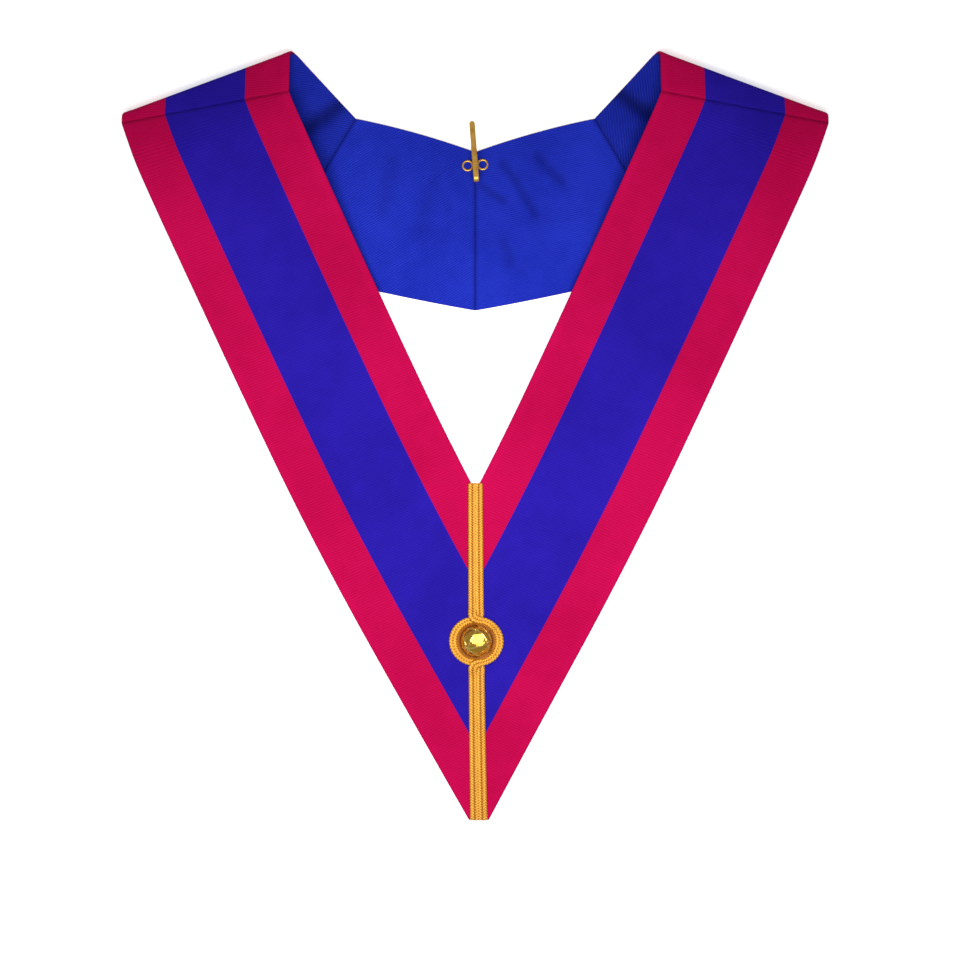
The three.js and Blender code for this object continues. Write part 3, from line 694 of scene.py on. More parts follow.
def ribbon_material():
    material, tree, shader = start_material(
        "striped_ribbon",
        Specular_IOR_Level=0.02,
        Sheen_Weight=0.012,
        Sheen_Roughness=0.45,
        Sheen_Tint=(0.8, 0.35, 0.75, 1),
    )
    across, along = cloth_measures(tree)
    edge = mark(tree, "edge_distance")
    weave = place_group(
        tree, CORD_WEAVE, Across=across, Along=along, Cord_Pitch=CORD_PITCH, Warp_Pitch=WARP_PITCH
    )
    drift = on_piece(tree, DYE_DRIFT, 14.0)["Drift"]
    red = blend_colour(tree, drift, CRIMSON_DEEP, CRIMSON)
    blue = blend_colour(tree, drift, BLUE_DEEP, BLUE)
    # The stripes meet in a fine toothed line
    tooth = about(tree, wave(tree, along, 0.55), 0.5, 0.22)
    line = reckon(tree, "ADD", across, tooth)
    from_middle = reckon(tree, "ABSOLUTE", reckon(tree, "SUBTRACT", line, RIBBON_WIDTH / 2))
    half = RIBBON_WIDTH / 2 - EDGE_STRIPE
    stripe = span(tree, from_middle, half - STRIPE_BLUR, half + STRIPE_BLUR)
    colour = blend_colour(tree, stripe, blue, red)
    colour = shade_by(tree, colour, weave["Tone"], 0.36)
    near_edge = place_group(tree, EDGE_SHADE, Distance=edge, Line=0.5, Reach=SELVEDGE)
    hem = span(tree, edge, SELVEDGE - 0.5, SELVEDGE + 0.4, 1.0, 0.0)
    # The hem is painted slightly lighter: a painted highlight on its raised edge
    colour = shade_by(tree, colour, hem, 0.05)
    colour = shade_by(tree, colour, near_edge["On Line"], -0.35)
    colour = shade_seam(tree, colour, line=0.9, reach=2.6, on_line=-0.35, near=-0.12)
    height = reckon(tree, "MULTIPLY_ADD", hem, 0.6, weave["Height"])
    finish_surface(tree, shader, colour, (weave["Tone"], -0.25, 0.72), height, 0.35, 0.16)
    return material


def lining_material(name, slant, pitch, depth, shade=1.0):
    material, tree, shader = start_material(
        name,
        Specular_IOR_Level=0.03,
        Sheen_Weight=0.015,
        Sheen_Roughness=0.4,
        Sheen_Tint=(0.35, 0.4, 1, 1),
    )
    across, along = cloth_measures(tree)
    edge = mark(tree, "edge_distance")
    twill = place_group(tree, TWILL_LINES, Across=across, Along=along, Pitch=pitch, Slant=slant)
    drift = on_piece(tree, DYE_DRIFT, 18.0)["Drift"]
    # The shade factor scales the dye; below 1, on the shoulder linings, it is painted shade
    deep, light = ([shade * part for part in dye] for dye in (LINING_DEEP, LINING_BLUE))
    colour = blend_colour(tree, drift, deep, light)
    colour = shade_by(tree, colour, twill["Tone"], depth)
    near_edge = place_group(tree, EDGE_SHADE, Distance=edge, Line=0.6, Reach=2.5)
    colour = blend_colour(tree, near_edge["On Line"], colour, EDGE_NAVY)
    colour = shade_seam(tree, colour, line=0.8, reach=3.2, on_line=-0.5, near=-0.22)
    # Painted shade in the soft valleys of the lining, darker where a valley is deeper
    colour = shade_by(tree, colour, mark(tree, "fold_painted_shade"), -0.24)
    finish_surface(tree, shader, colour, (twill["Tone"], -0.3, 0.62), twill["Height"], 0.8, 0.25)
    return material


def braid_material():
    material, tree, shader = start_material("gold_braid", Metallic=0.35, Specular_IOR_Level=0.5)
    across, along = cloth_measures(tree)
    crest = mark(tree, "crest")
    drift = on_piece(tree, DYE_DRIFT, 160.0)["Drift"]
    body = blend_colour(tree, drift, (0.64, 0.28, 0.01), (0.74, 0.34, 0.016))
    # Painted light and shade: dark in the grooves, down the slope to the button, on the feet and
    # on the backing ring; painted highlights on the rib tops and edge beads
    colour = blend_colour(tree, span(tree, crest, 0.05, 0.8), (0.22, 0.05, 0.0015), body)
    colour = blend_colour(tree, span(tree, crest, 0.68, 1.0), colour, (0.94, 0.55, 0.12))
    threads = wave(tree, reckon(tree, "MULTIPLY_ADD", across, 0.8, along), 0.28)
    grain = noise(tree, join_axes(tree, across, along), 6.0)
    height = reckon(tree, "MULTIPLY_ADD", grain, 0.6, threads)
    finish_surface(tree, shader, colour, (grain, 0.3, 0.3), height, 0.6, 0.08)
    return material


def button_material():
    material, tree, shader = start_material("gilt_button", Metallic=0.9)
    wear = on_piece(tree, METAL_WEAR, 240.0)
    # Gilt painted lighter on the raised ridges as painted highlight, and darker on the skirt below
    # the dome as painted shade
    gilt = blend_colour(tree, mark(tree, "crest"), (0.62, 0.36, 0.045), (0.9, 0.66, 0.19))
    dull = reckon(tree, "MULTIPLY", wear["Tarnish"], 0.4)
    colour = blend_colour(tree, dull, gilt, (0.34, 0.15, 0.02))
    rough = reckon(tree, "MULTIPLY_ADD", wear["Tarnish"], 0.14, 0.12)
    marks = wear["Rubbing"]
    finish_surface(tree, shader, colour, (marks, 0.1, rough), marks, 0.12, 0.03)
    return material


def hook_material():
    material, tree, shader = start_material("hook_brass", Metallic=0.72)
    wear = on_piece(tree, METAL_WEAR, 180.0)
    dull = reckon(tree, "MULTIPLY", wear["Tarnish"], 0.6)
    colour = blend_colour(tree, dull, (0.74, 0.42, 0.085), (0.46, 0.2, 0.035))
    marks = wear["Rubbing"]
    finish_surface(tree, shader, colour, (marks, 0.25, 0.24), marks, 0.25, 0.04)
    return material


RIBBON_CLOTH = ribbon_material()
BRAID_GOLD = braid_material()
BUTTON_GILT = button_material()
HOOK_BRASS = hook_material()
# Slant and pitch of the twill, how much it shows, and a darkening of the dye; on the shoulder
# linings this is painted shade under the crease, deeper on the right
LINING_CLOTHS = {
    ("front", -1): lining_material("lining_twill_arm_left", 0.9, 1.25, 0.2),
    ("front", 1): lining_material("lining_twill_arm_right", -0.9, 1.25, 0.2),
    ("shoulder", -1): lining_material("lining_twill_shoulder_left", 0.75, 1.5, 0.6, 0.78),
    ("shoulder", 1): lining_material("lining_twill_shoulder_right", -0.75, 1.5, 0.6, 0.7),
    ("back", -1): lining_material("lining_twill_back_left", 0.95, 1.6, 0.65),
    ("back", 1): lining_material("lining_twill_back_right", 0.55, 1.35, 0.5),
}


# Meshes
def new_object(name, data):
    made = bpy.data.objects.new(name, data)
    bpy.context.scene.collection.objects.link(made)
    return made


def mesh_piece(name, points, faces, material, slot, uv=None, sharp=0, **marks):
    """A new piece from points in millimetres of the shared frame."""
    mesh = bpy.data.meshes.new(name)
    mesh.from_pydata((points * MM).tolist(), [], faces.tolist())
    mesh.update()
    mesh.polygons.foreach_set("use_smooth", [True] * len(mesh.polygons))
    if sharp:
        mesh.set_sharp_from_angle(angle=sharp)
    if uv is not None:
        loops = np.zeros(len(mesh.loops), int)
        mesh.loops.foreach_get("vertex_index", loops)
        layer = mesh.uv_layers.new(name="cloth")
        layer.data.foreach_set("uv", (uv[loops] / UV_UNIT).ravel())
    for label, values in marks.items():
        layer = mesh.attributes.new(label, "FLOAT", "POINT")
        layer.data.foreach_set("value", np.asarray(values, float).ravel())
    mesh.materials.append(material)
    piece = new_object(name, mesh)
    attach(piece, "root")
    return piece


def quads(a, b, c, d):
    return np.stack([a.ravel(), b.ravel(), c.ravel(), d.ravel()], -1)


def facing_out(points, faces):
    """The faces, turned so that they face out of the closed mesh."""
    a, b, c, d = (points[faces[:, k]] for k in range(4))
    volume = (a * (np.cross(b, c) + np.cross(c, d))).sum()
    return faces if volume > 0 else faces[:, ::-1]


def closed_sheet(lower, upper):
    count = lower.shape[0] * lower.shape[1]
    at = np.arange(count).reshape(lower.shape[:2])
    top = at + count
    faces = [
        quads(top[:-1, :-1], top[1:, :-1], top[1:, 1:], top[:-1, 1:]),
        quads(at[:-1, :-1], at[:-1, 1:], at[1:, 1:], at[1:, :-1]),
        quads(at[:-1, 0], at[1:, 0], top[1:, 0], top[:-1, 0]),
        quads(at[1:, -1], at[:-1, -1], top[:-1, -1], top[1:, -1]),
        quads(at[0, 1:], at[0, :-1], top[0, :-1], top[0, 1:]),
        quads(at[-1, :-1], at[-1, 1:], top[-1, 1:], top[-1, :-1]),
    ]
    points = np.concatenate([lower.reshape(-1, 3), upper.reshape(-1, 3)])
    return points, facing_out(points, np.concatenate(faces))


def swept_mesh(rings, closed=False):
    """A mesh round rings of points, closed in a loop or capped at its ends."""
    rows, sides = rings.shape[:2]
    at = np.arange(rows * sides).reshape(rows, sides)
    after = np.roll(at, -1, axis=1)
    faces = [quads(at[:-1], at[1:], after[1:], after[:-1])]
    if closed:
        faces.append(quads(at[-1:], at[:1], after[:1], after[-1:]))
    else:
        i = np.arange(sides // 2 - 1)
        for row, way in ((at[0], 1), (at[-1], -1)):
            cap = quads(row[i], row[i + 1], row[sides - 2 - i], row[sides - 1 - i])
            faces.append(cap[:, ::way])
    points = rings.reshape(-1, 3)
    return points, facing_out(points, np.concatenate(faces))


def joined(parts):
    points, faces, count = [], [], 0
    for part_points, part_faces in parts:
        points.append(part_points)
        faces.append(part_faces + count)
        count += len(part_points)
    return np.concatenate(points), np.concatenate(faces)


def rounded(distance, width, drop):
    """How far a surface falls as it rounds off to an edge."""
    share = np.clip(1 - distance / width, 0, 1)
    return drop * (1 - np.sqrt(1 - share * share))


# Soft valleys in the lining, as seen from above: from, to, half width, depth
VALLEYS = [
    ((-80.0, 208.0), (-104.0, 191.8), 5.0, 2.4),
    ((88.0, 213.5), (107.6, 200.3), 5.0, 2.4),
    ((4.2, 155.2), (17.5, 145.9), 2.6, 1.2),
    ((17.5, 168.8), (23.8, 160.4), 3.0, 1.1),
    ((23.8, 160.4), (37.0, 137.9), 3.0, 1.1),
    ((38.8, 173.7), (53.4, 157.9), 3.4, 1.1),
    ((18.7, 120.0), (21.9, 108.9), 3.4, 0.8),
    ((-24.0, 165.0), (-34.0, 128.0), 5.0, 0.5),
    ((-52.0, 172.0), (-58.0, 140.0), 5.0, 0.5),
]
LINING_PUFF = 1.3
PUFF_FROM_EDGE = 16
PUFF_FROM_SEAM = 14
PUFF_FACING = (0.3, -0.6)
# Height of each ripple, and its run across and down
RIPPLES = [(0.12, 5.3, 9.1), (0.1, -12.0, 6.7)]
HEM_RISE = 0.16
HEM_ROUND = 0.6
# How cloth rounds off to an edge and to a seam
EDGE_ROUND = 0.75
SEAM_ROUND = 1.1
CLOTH_DROP = 0.5
SHARP_ANGLE = 50 * DEGREE


def valley_depth(x, y):
    depth = np.zeros_like(x)
    for (x1, y1), (x2, y2), width, deep in VALLEYS:
        run = np.array([x2 - x1, y2 - y1])
        share = np.clip(((x - x1) * run[0] + (y - y1) * run[1]) / (run @ run), 0, 1)
        far = np.hypot(x - x1 - share * run[0], y - y1 - share * run[1]) / width
        depth = np.maximum(depth, deep * np.exp(-far * far))
    return depth


def puff_of_lining(grid, edge, seam):
    """How far the lining stands off the ribbon between its edges and seams."""
    x, y = grid[..., 0], grid[..., 1]
    soft = fade(edge, 0, PUFF_FROM_EDGE) * fade(seam, 0, PUFF_FROM_SEAM)
    ripples = sum(rise * np.sin(x / over + y / down) for rise, over, down in RIPPLES)
    return soft * (LINING_PUFF + ripples - valley_depth(x, y))


def hem_of_ribbon(edge):
    return HEM_RISE * (1 - fade(edge, SELVEDGE - HEM_ROUND, SELVEDGE + HEM_ROUND))


# Grid of places, whether it sways with the tip, way its rows face, inset of the lining, how held
LENGTHS = {
    "front": (lambda side, columns: arm_grid(columns), True, 1, LINING_INSET, "laid"),
    "shoulder": (lambda side, columns: shoulder_grid(columns), False, 1, -LINING_OVER, "folded"),
    "back": (panel_grid, False, -1, -LINING_OVER, "laid"),
}
HALVES = {"left": -1, "right": 1}


def make_sheets(length, half):
    """The ribbon and the lining of one length of the collar."""
    side, made = HALVES[half], {}
    make_grid, swayed, up, lining_inset, held = LENGTHS[length]
    for cloth in ("ribbon", "lining"):
        inset = lining_inset if cloth == "lining" else 0
        columns = inset + spread(RIBBON_WIDTH - 2 * inset, ARM_COLUMNS)
        grid, ends = make_grid(side, columns)
        grid = in_frame(grid, side, swayed)
        out = ways_out(grid, up)
        across = np.broadcast_to(columns[:, None], grid.shape[:2])
        edge = np.minimum(across - inset, RIBBON_WIDTH - inset - across)
        seam = ends.min(-1)
        puff = fold = np.zeros_like(edge)
        fall = rounded(edge, EDGE_ROUND, CLOTH_DROP)
        fall = fall + CLOTH_DROP * np.exp(-((seam / SEAM_ROUND) ** 2))
        if cloth == "ribbon":
            lower = grid + out * HALF_GAP
            upper = grid + out * (RIBBON_OUT + hem_of_ribbon(edge) - fall)[..., None]
            material, slot = RIBBON_CLOTH, "crimson_stripe"
            nodes = [f"ribbon_{length}_{half}_{stripe}" for stripe in ("outer", "middle", "inner")]
        else:
            if length != "front":
                puff = puff_of_lining(grid, edge, seam)
                # The valley depth also sets the painted shade in the lining's colour
                fold = valley_depth(grid[..., 0], grid[..., 1])
            if length == "shoulder":
                # Only where the lining looks up from under the crease
                puff = puff * fade(out[..., 2], *PUFF_FACING)
            lower = grid - out * (HALF_GAP + puff)[..., None]
            upper = grid - out * (LINING_IN + puff - fall)[..., None]
            material, slot = LINING_CLOTHS[(length, side)], "lining"
            nodes = [f"lining_{length}_{half}"]
        uv = np.stack([across, ends[..., 0]], -1)
        marks = {"edge_distance": edge, "seam_distance": seam, "fold_painted_shade": fold}
        made[cloth] = mesh_piece(
            f"{cloth}_{length}_{half}_cloth",
            *closed_sheet(lower, upper),
            material,
            slot,
            uv=np.stack([uv, uv]).reshape(-1, 2),
            sharp=SHARP_ANGLE,
            **{name: np.stack([values, values]) for name, values in marks.items()},
        )
        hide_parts(*nodes)


# Camera
camera_data = bpy.data.cameras.new("camera")
camera_data.lens = CAMERA_LENS
camera_data.sensor_width = 36
camera = new_object("camera", camera_data)
camera.location = (CAMERA_OVER[0] * MM, CAMERA_OVER[1] * MM, CAMERA_HEIGHT * MM)
bpy.context.scene.camera = camera

for length in LENGTHS:
    for half in HALVES:
        make_sheets(length, half)

# Gold braid
RING_CENTRE = TIP_Y + RING_FROM_TIP
RING_INNER = BUTTON_RADIUS + BUTTON_CLEARANCE
BRAID_TOP = NOTCH_Y + BRAID_ABOVE_NOTCH


def strand_width(y):
    share = np.clip((BRAID_TOP - y) / (BRAID_TOP - TIP_Y), 0, 1)
    return STRAND_TOP + (STRAND_TIP - STRAND_TOP) * share


def ring_width(angle):
    outer = math.hypot(RING_HALF_WIDTH * math.sin(angle), RING_HALF_LENGTH * math.cos(angle))
    return outer - RING_INNER


def strand_route(side, over):
    """Rows of x, y, width, lift and share on the ring, down one strand."""
    lift = STRAND_THICKNESS + PIECE_GAP if over else 0
    rows = []

    def beside(y):
        return side * (strand_width(y) + STRAND_GAP) / 2

    def on_ring(angle):
        middle = RING_INNER + ring_width(angle) / 2
        return -side * middle * math.sin(angle), RING_CENTRE + middle * math.cos(angle)

    def straight(start, stop, count):
        for share in np.linspace(0, 1, count + 1):
            y = start + (stop - start) * share
            rows.append((beside(y), y, strand_width(y) + STRAND_SWELL, 0, 0))

    def cross(y, angle, to_ring):
        run = (beside(y), y, strand_width(y) + STRAND_SWELL)
        ring = (*on_ring(angle), ring_width(angle))
        for share in np.linspace(0, 1, 9):
            down = share if to_ring else 1 - share
            x = run[0] + (ring[0] - run[0]) * smooth(down)
            at_y = run[1] + (ring[1] - run[1]) * down * (2 - down)
            rows.append((x, at_y, run[2] + (ring[2] - run[2]) * down, lift, smooth(down)))

    high_y = RING_CENTRE + RING_HALF_LENGTH + CROSS_RUN
    low_y = RING_CENTRE - RING_HALF_LENGTH - CROSS_RUN
    straight(BRAID_TOP, high_y + LIFT_RUN, 6)
    cross(high_y, RING_PARTING, True)
    for share in np.linspace(0, 1, 15)[1:-1]:
        angle = RING_PARTING + (math.pi - 2 * RING_PARTING) * share
        from_end = min(share, 1 - share) * math.pi * RING_INNER
        settled = min(max(from_end / LIFT_RUN - 1, 0), 1)
        rows.append((*on_ring(angle), ring_width(angle), lift * (1 - smooth(settled)), 1))
    cross(low_y, math.pi - RING_PARTING, False)
    straight(low_y - LIFT_RUN, TIP_Y, 7)
    return np.array(rows)


def through_rows(rows, step):
    """A smooth line through rows of a table, sampled at even steps of its length."""
    run = running(np.linalg.norm(np.diff(rows[:, :2], axis=0), axis=1))
    slopes = np.gradient(rows, run, axis=0)
    at = np.linspace(0, run[-1], int(run[-1] / step) + 1)
    i = np.clip(np.searchsorted(run, at, side="right") - 1, 0, len(run) - 2)
    gap = (run[i + 1] - run[i])[:, None]
    t = (at - run[i])[:, None] / gap
    line = (
        (1 + 2 * t) * (1 - t) ** 2 * rows[i]
        + t * (1 - t) ** 2 * gap * slopes[i]
        + t * t * (3 - 2 * t) * rows[i + 1]
        - t * t * (1 - t) * gap * slopes[i + 1]
    )
    return at, line


BRAID_STEP = 0.2
# Across a strand: a foot, the two ribs, and two feet that close the flat underside
STRAND_SECTION = np.concatenate([[-1], np.linspace(-1, 1, 17), [1, 0]])
STRAND_FEET = [0, 18, 19]
EDGE_SHARE = 0.95
RING_SLOPE_SHARE = 0.3
RING_REACH = 0.42
SLOPE_FALL = 0.42
PLAIT_DEPTH = 0.34
PLAIT_LEAN = 2.4
PLAIT_AT_SIDES = 0.35
RIB_LAG = 1.3
EDGE_BEAD = 0.16
BEAD_LAG = 0.8
END_ROUND = 1.4
END_LEAST = 0.06
# Painted shade on the flat underside of a strand
FOOT_PAINTED_SHADE = 0.05
# Radius and rise of the corners of the flat ring's section
BACKING_SECTION = [(9.62, 0.02), (12.6, 0.02), (12.6, 0.35), (9.62, 0.35)]
BACKING_SIDES = 120
# The flat ring is coloured dark, as painted shade in the corners beside the button
BACKING_PAINTED_SHADE = 0.12


def ribbon_top(x, y):
    """Height at which something lies on the front arms, over plan points of either half."""
    return front_height(inward_of(np.stack([np.abs(x), y], -1))) + RIBBON_OUT + PIECE_GAP


def strand_piece(name, node, side, over, backing=()):
    """One strand of two-ribbed braid, with any backing joined to it."""
    at, line = through_rows(strand_route(side, over), BRAID_STEP)
    x, y, width, lift, ring = (line[:, k] for k in range(5))
    along = np.gradient(line[:, :2], axis=0)
    along /= np.linalg.norm(along, axis=1, keepdims=True)
    across = np.stack([along[:, 1], -along[:, 0]], -1)
    s = STRAND_SECTION[None, :]
    on_edge = np.abs(s) > EDGE_SHARE
    on_foot = np.isin(np.arange(s.size), STRAND_FEET)[None, :]
    ringed = np.clip(ring, 0, 1)[:, None]
    # On the ring, the side toward the button slopes down to it
    inner = -side
    toward = inner * s
    limit = 1 - 2 * RING_SLOPE_SHARE * ringed
    on_slope = toward > limit
    down = np.where(on_slope, (toward - limit) / np.maximum(1 - limit, 1e-6), 0)
    # The rest has two ribs, each plaited in lobes
    ribbed = np.where(on_slope, 1.0, 2 * (toward + 1) / (limit + 1) - 1)
    rib = 2 * np.abs(ribbed) - 1
    dome = np.sqrt(np.clip(1 - rib * rib, 0, 1))
    phase = TURN * at[:, None] / PLAIT_PITCH
    half_turn = np.where(rib > 0, math.pi, 0) + np.where(ribbed > 0, RIB_LAG, 0)
    lobe = 0.5 * np.cos(phase - PLAIT_LEAN * np.abs(rib) + half_turn)
    plait = lobe * PLAIT_DEPTH * (PLAIT_AT_SIDES + (1 - PLAIT_AT_SIDES) * dome)
    height = STRAND_THICKNESS * (0.5 + 0.5 * dome) + plait
    height = np.where(on_slope, STRAND_THICKNESS * (0.5 - SLOPE_FALL * down), height)
    height = np.where(on_foot, 0, height)
    beads = np.cos(phase + BEAD_LAG)
    bead = EDGE_BEAD * (0.5 + 0.5 * beads) * on_edge
    end = np.minimum(at, at[-1] - at)[:, None]
    round_end = np.sqrt(np.clip(1 - np.clip(1 - end / END_ROUND, 0, 1) ** 2, END_LEAST, 1))
    offset = s * (width[:, None] / 2 - EDGE_BEAD / 2 + bead) * (0.8 + 0.2 * round_end)
    offset = offset + inner * RING_REACH * ringed * down
    rise = (ribbon_top(x, y) + lift)[:, None] + height * (0.45 + 0.55 * round_end)
    plan = line[:, None, :2] + across[:, None] * offset[..., None]
    points, faces = joined([swept_mesh(in_frame(lifted(plan, rise))), *backing])
    # Painted light and shade for the colour: lighter on rib tops and lobes, painted shade down the
    # slope to the button, painted highlights on the edge beads, and dark feet
    crest = np.clip(0.15 + 0.55 * dome + 0.45 * lobe, 0, 1)
    crest = np.where(on_slope, 0.45 * (1 - down) ** 1.5, crest)
    crest = np.where(on_edge, 0.45 + 0.5 * beads**2, crest)
    crest = np.where(on_foot, FOOT_PAINTED_SHADE, crest)
    uv = np.stack([s * width[:, None] / 2, np.broadcast_to(at[:, None], height.shape)], -1)
    extra = len(points) - crest.size
    uv = np.concatenate([uv.reshape(-1, 2), np.zeros((extra, 2))])
    crest = np.concatenate([crest.ravel(), np.full(extra, BACKING_PAINTED_SHADE)])
    piece = mesh_piece(name, points, faces, BRAID_GOLD, "gold_braid", uv=uv, crest=crest)
    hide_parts(node)


def ring_backing():
    """A flat ring of braid that closes the corners between the strands and the button."""
    around = circle(BACKING_SIDES)
    rings = []
    for radius, rise in BACKING_SECTION:
        x, y = radius * np.sin(around), RING_CENTRE + radius * np.cos(around)
        rings.append(np.stack([x, y, ribbon_top(x, y) + rise], -1))
    points, faces = swept_mesh(np.stack(rings, 1), closed=True)
    return in_frame(points), faces


strand_piece("braid_over", "braid_strand_over", -1, True)
strand_piece("braid_under", "braid_strand_under", 1, False, [ring_backing()])


# Domed button
def turn_of(x=0.0, z=0.0):
    """The matrix of a turn about X, then about Z."""
    cx, sx, cz, sz = math.cos(x), math.sin(x), math.cos(z), math.sin(z)
    tilt = np.array([[1, 0, 0], [0, cx, -sx], [0, sx, cx]])
    spin = np.array([[cz, -sz, 0], [sz, cz, 0], [0, 0, 1]])
    return spin @ tilt


# Flat facets of the dome: leans to the right and to the back in degrees, and half width
BUTTON_FACETS = [
    *[(7, 13, 3.4), (-14, 6, 1.3), (-22, -4, 1.5), (-12, -16, 1.7)],
    *[(-30, 13, 1.3), (3, -24, 1.5), (-27, -20, 1.3), (4, 31, 1.6)],
]
# Raised bands curved round a point of the dome: their inner and outer distance from it
BAND_CENTRE = (-0.5, 4.6)
BUTTON_BANDS = [(6.7, 7.8), (10.2, 10.9)]
BAND_SLOPE = 0.42
BAND_SECTOR = (-105 * DEGREE, 12 * DEGREE)
BAND_FADE = 0.2
RIDGE_FULLNESS = 0.6
RIDGE_FADE = 0.06
DOME_ROWS = 70
DOME_SIDES = 220
DOME_END = 0.004
# Rise and flare of each row below the dome
BUTTON_SKIRT = [(0.0, -0.25), (0.25, 0.0), (0.6, 0.06), (1.1, 0.04), (1.5, 0.0)]
# Painted shade on the skirt below the dome
SKIRT_PAINTED_SHADE = 0.2
SLOPE_STEP = 0.05


def band_rise(x, y):
    far = np.hypot(x - BAND_CENTRE[0], y - BAND_CENTRE[1])
    turn = np.arctan2(y - BAND_CENTRE[1], x - BAND_CENTRE[0])
    first, last = BAND_SECTOR
    shown = fade(turn, first, first + BAND_FADE) * fade(turn, last, last - BAND_FADE)
    rise = sum(np.where((far > a) & (far < b), BAND_SLOPE * (far - a), 0) for a, b in BUTTON_BANDS)
    return rise * shown


def button_piece():
    dome_height = BUTTON_HEIGHT - BUTTON_RIM
    globe = (BUTTON_RADIUS**2 + dome_height**2) / (2 * dome_height)
    centre = BUTTON_HEIGHT - globe
    rim_angle = math.atan2(BUTTON_RIM - centre, BUTTON_RADIUS)
    angle = np.linspace(rim_angle, math.pi / 2 - DOME_END, DOME_ROWS)[:, None]
    around = circle(DOME_SIDES)
    cosine, sine = np.cos(around), np.sin(around)
    level = np.broadcast_to(np.sin(angle), (DOME_ROWS, DOME_SIDES))
    unit = np.stack([np.cos(angle) * cosine, np.cos(angle) * sine, level], -1)
    local = unit @ turn_of(GLOBE_TILT, GLOBE_TURN)
    latitude = np.arcsin(local[..., 2])
    away = [np.abs(latitude - parallel) for parallel in GLOBE_PARALLELS]
    for turn in GLOBE_MERIDIANS:
        away.append(np.abs(np.arcsin(local @ [-math.sin(turn), math.cos(turn), 0])))
    near = np.min(away, axis=0) * globe
    ridge = np.clip(1 - (near / RIDGE_HALF_WIDTH) ** 2, 0, 1) ** RIDGE_FULLNESS
    ridge = ridge * fade(angle - rim_angle, 0.0, RIDGE_FADE)
    dome = unit * (globe + RIDGE_HEIGHT * ridge)[..., None]
    dome[..., 2] += band_rise(dome[..., 0], dome[..., 1])
    for lean_x, lean_y, reach in BUTTON_FACETS:
        way = np.sin([lean_x * DEGREE, lean_y * DEGREE])
        way = np.array([*way, math.sqrt(1 - way @ way)])
        over = dome @ way - globe + reach**2 / (2 * globe)
        dome[..., 2] -= np.maximum(over, 0) / way[2]
    dome = dome + np.array([0, 0, centre])
    skirt = []
    for rise, flare in BUTTON_SKIRT:
        radius = BUTTON_RADIUS + flare
        skirt.append(np.stack([radius * cosine, radius * sine, np.full(DOME_SIDES, rise)], -1))
    points, faces = swept_mesh(np.concatenate([skirt, dome]))
    rise = ribbon_top(0, RING_CENTRE + SLOPE_STEP) - ribbon_top(0, RING_CENTRE - SLOPE_STEP)
    points = points @ turn_of(x=math.atan2(rise, 2 * SLOPE_STEP)).T
    base = float(ribbon_top(0, RING_CENTRE))
    points = points + np.array([float(sway(RING_CENTRE)), RING_CENTRE + NECK_LINE, base])
    # Painted highlight on the ridges and painted shade on the skirt
    crest = np.concatenate([np.full((len(skirt), DOME_SIDES), SKIRT_PAINTED_SHADE), ridge])
    piece = mesh_piece("button_gilt", points, faces, BUTTON_GILT, "gilt_button", crest=crest)
    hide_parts("button")


button_piece()


# Neck hook
HOOK_RUN_IN = 0.6
HOOK_END_FULLNESS = 1.6
HOOK_SIDES = 28
EYELET_SIDES = 64
EYELET_WIRE_SIDES = 16


def hook_rows():
    """Rows of y, z, heading and width down the flat wire, from the shank to the free end."""
    bend = (HOOK_MOUTH + HOOK_THICKNESS) / 2
    flat = HOOK_THICKNESS / 2
    top = flat + 2 * bend
    end = HOOK_REACH - HOOK_WIDTH / 2
    straight = HOOK_SHANK - HOOK_RUN_IN
    rows = [(-straight * share, flat, 0, HOOK_WIDTH) for share in np.linspace(0, 1, 8)]
    for angle in np.linspace(0, math.pi, 19)[1:]:
        y, z = -HOOK_SHANK - bend * math.sin(angle), flat + bend * (1 - math.cos(angle))
        rows.append((y, z, angle, HOOK_WIDTH))
    for y in np.linspace(-HOOK_SHANK, end, 24)[1:]:
        rows.append((y, top, math.pi, HOOK_WIDTH))
    for angle in np.linspace(0, HOOK_END_TURN, 9)[1:]:
        y = end + HOOK_WIDTH / 2 * math.sin(angle)
        rows.append((y, top, math.pi, HOOK_WIDTH * math.cos(angle)))
    return rows


def eyelet(side):
    """A ring of round wire, to be sewn down beside the shank."""
    around = circle(EYELET_SIDES)[:, None]
    wire = circle(EYELET_WIRE_SIDES)
    radius = (EYELET_OUTSIDE - EYELET_WIRE) / 2 + EYELET_WIRE / 2 * np.cos(wire)
    x = side * EYELET_SPREAD / 2 + radius * np.cos(around)
    z = np.broadcast_to(EYELET_WIRE / 2 * (1 + np.sin(wire)), x.shape)
    return swept_mesh(np.stack([x, radius * np.sin(around), z], -1), closed=True)


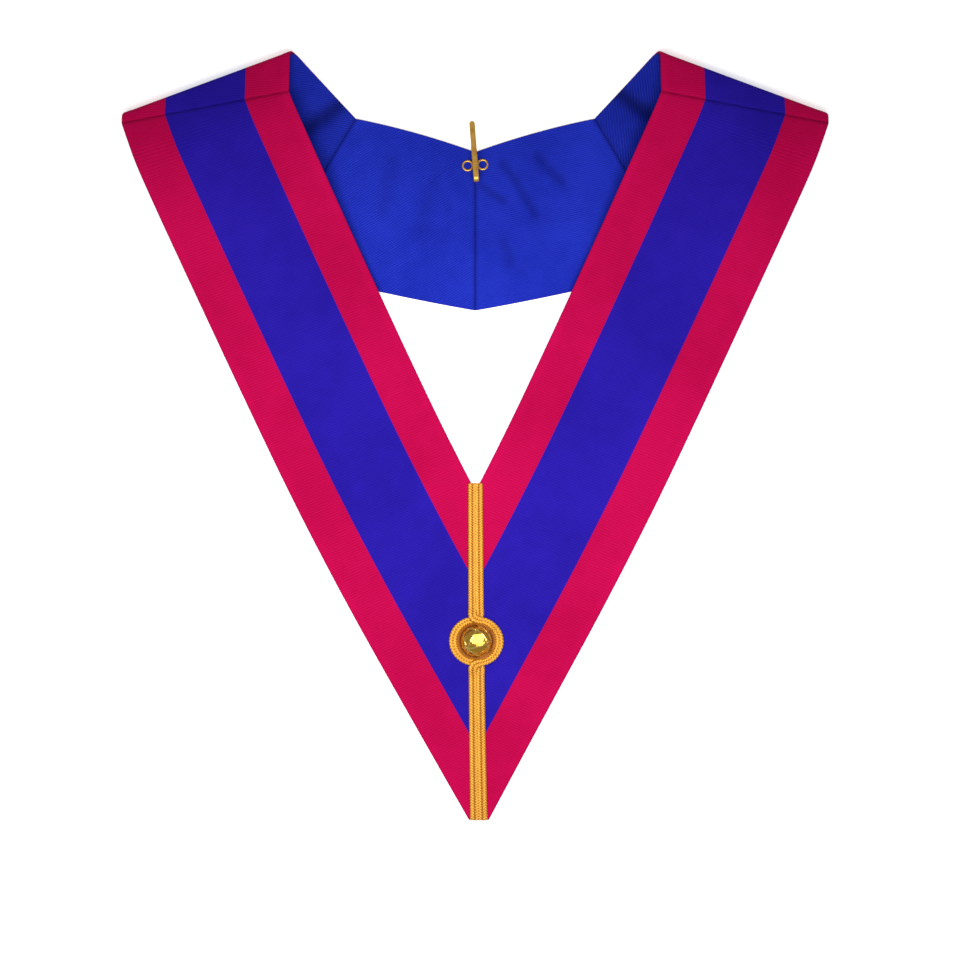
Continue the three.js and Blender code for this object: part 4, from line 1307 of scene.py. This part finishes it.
def hook_piece():
    angle = circle(HOOK_SIDES)
    squared_cos, squared_sin = (
        np.sign(part) * np.abs(part) ** HOOK_SQUARENESS for part in (np.cos(angle), np.sin(angle))
    )
    rings = []
    for y, z, turn, width in hook_rows():
        thick = HOOK_THICKNESS / 2 * squared_sin * min(1, width / HOOK_WIDTH * HOOK_END_FULLNESS)
        x = width / 2 * squared_cos
        rings.append(np.stack([x, y + thick * math.sin(turn), z + thick * math.cos(turn)], -1))
    points, faces = joined([swept_mesh(np.array(rings)), eyelet(-1), eyelet(1)])
    hook_y = PANEL_TOP[1][1] - HOOK_FROM_TOP
    end = (EYELET_SPREAD + EYELET_OUTSIDE) / 2
    seat = panel_over(1, end, hook_y)
    after = panel_over(1, end, hook_y - HOOK_SHANK)
    fall = math.atan2(after[2] - seat[2], HOOK_SHANK)
    points = points @ turn_of(z=HOOK_TILT).T @ turn_of(x=-fall).T
    base = seat[2] + LINING_IN / math.cos(fall) + PIECE_GAP
    points = points + np.array([0, hook_y + NECK_LINE, base])
    piece = mesh_piece("neck_hook_brass", points, faces, HOOK_BRASS, "hook_wire")
    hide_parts("neck_hook")


hook_piece()


# Floor and light
TABLE_HALF = 3.0
TABLE_LEVEL = -0.0002
WORLD_STRENGTH = 0.32


def floor_piece():
    mesh = bpy.data.meshes.new("table_top")
    signs = [(-1, -1), (1, -1), (1, 1), (-1, 1)]
    mesh.from_pydata([(x * TABLE_HALF, y * TABLE_HALF, 0) for x, y in signs], [], [(0, 1, 2, 3)])
    floor = new_object("table_top", mesh)
    floor.location.z = TABLE_LEVEL
    material, _, _ = start_material(
        "white_table",
        Base_Color=(0.93, 0.93, 0.93, 1),
        Roughness=0.9,
        Specular_IOR_Level=0.1,
        Emission_Color=(1, 1, 1, 1),
        Emission_Strength=0.5,
    )
    mesh.materials.append(material)


def softbox(name, place, size, power):
    data = bpy.data.lights.new(name, "AREA")
    data.shape = "RECTANGLE"
    data.size, data.size_y = size
    data.energy = power
    light = new_object(name, data)
    light.location = place
    light.visible_camera = False


floor_piece()
softbox("overhead_softbox", place=(-0.015, -0.08, 0.44), size=(0.55, 0.32), power=3.6)
world = bpy.data.worlds.new("studio")
world.use_nodes = True
background = world.node_tree.nodes["Background"].inputs
background["Color"].default_value = (1, 1, 1, 1)
background["Strength"].default_value = WORLD_STRENGTH
bpy.context.scene.world = world
bpy.context.scene.view_settings.view_transform = "Standard"
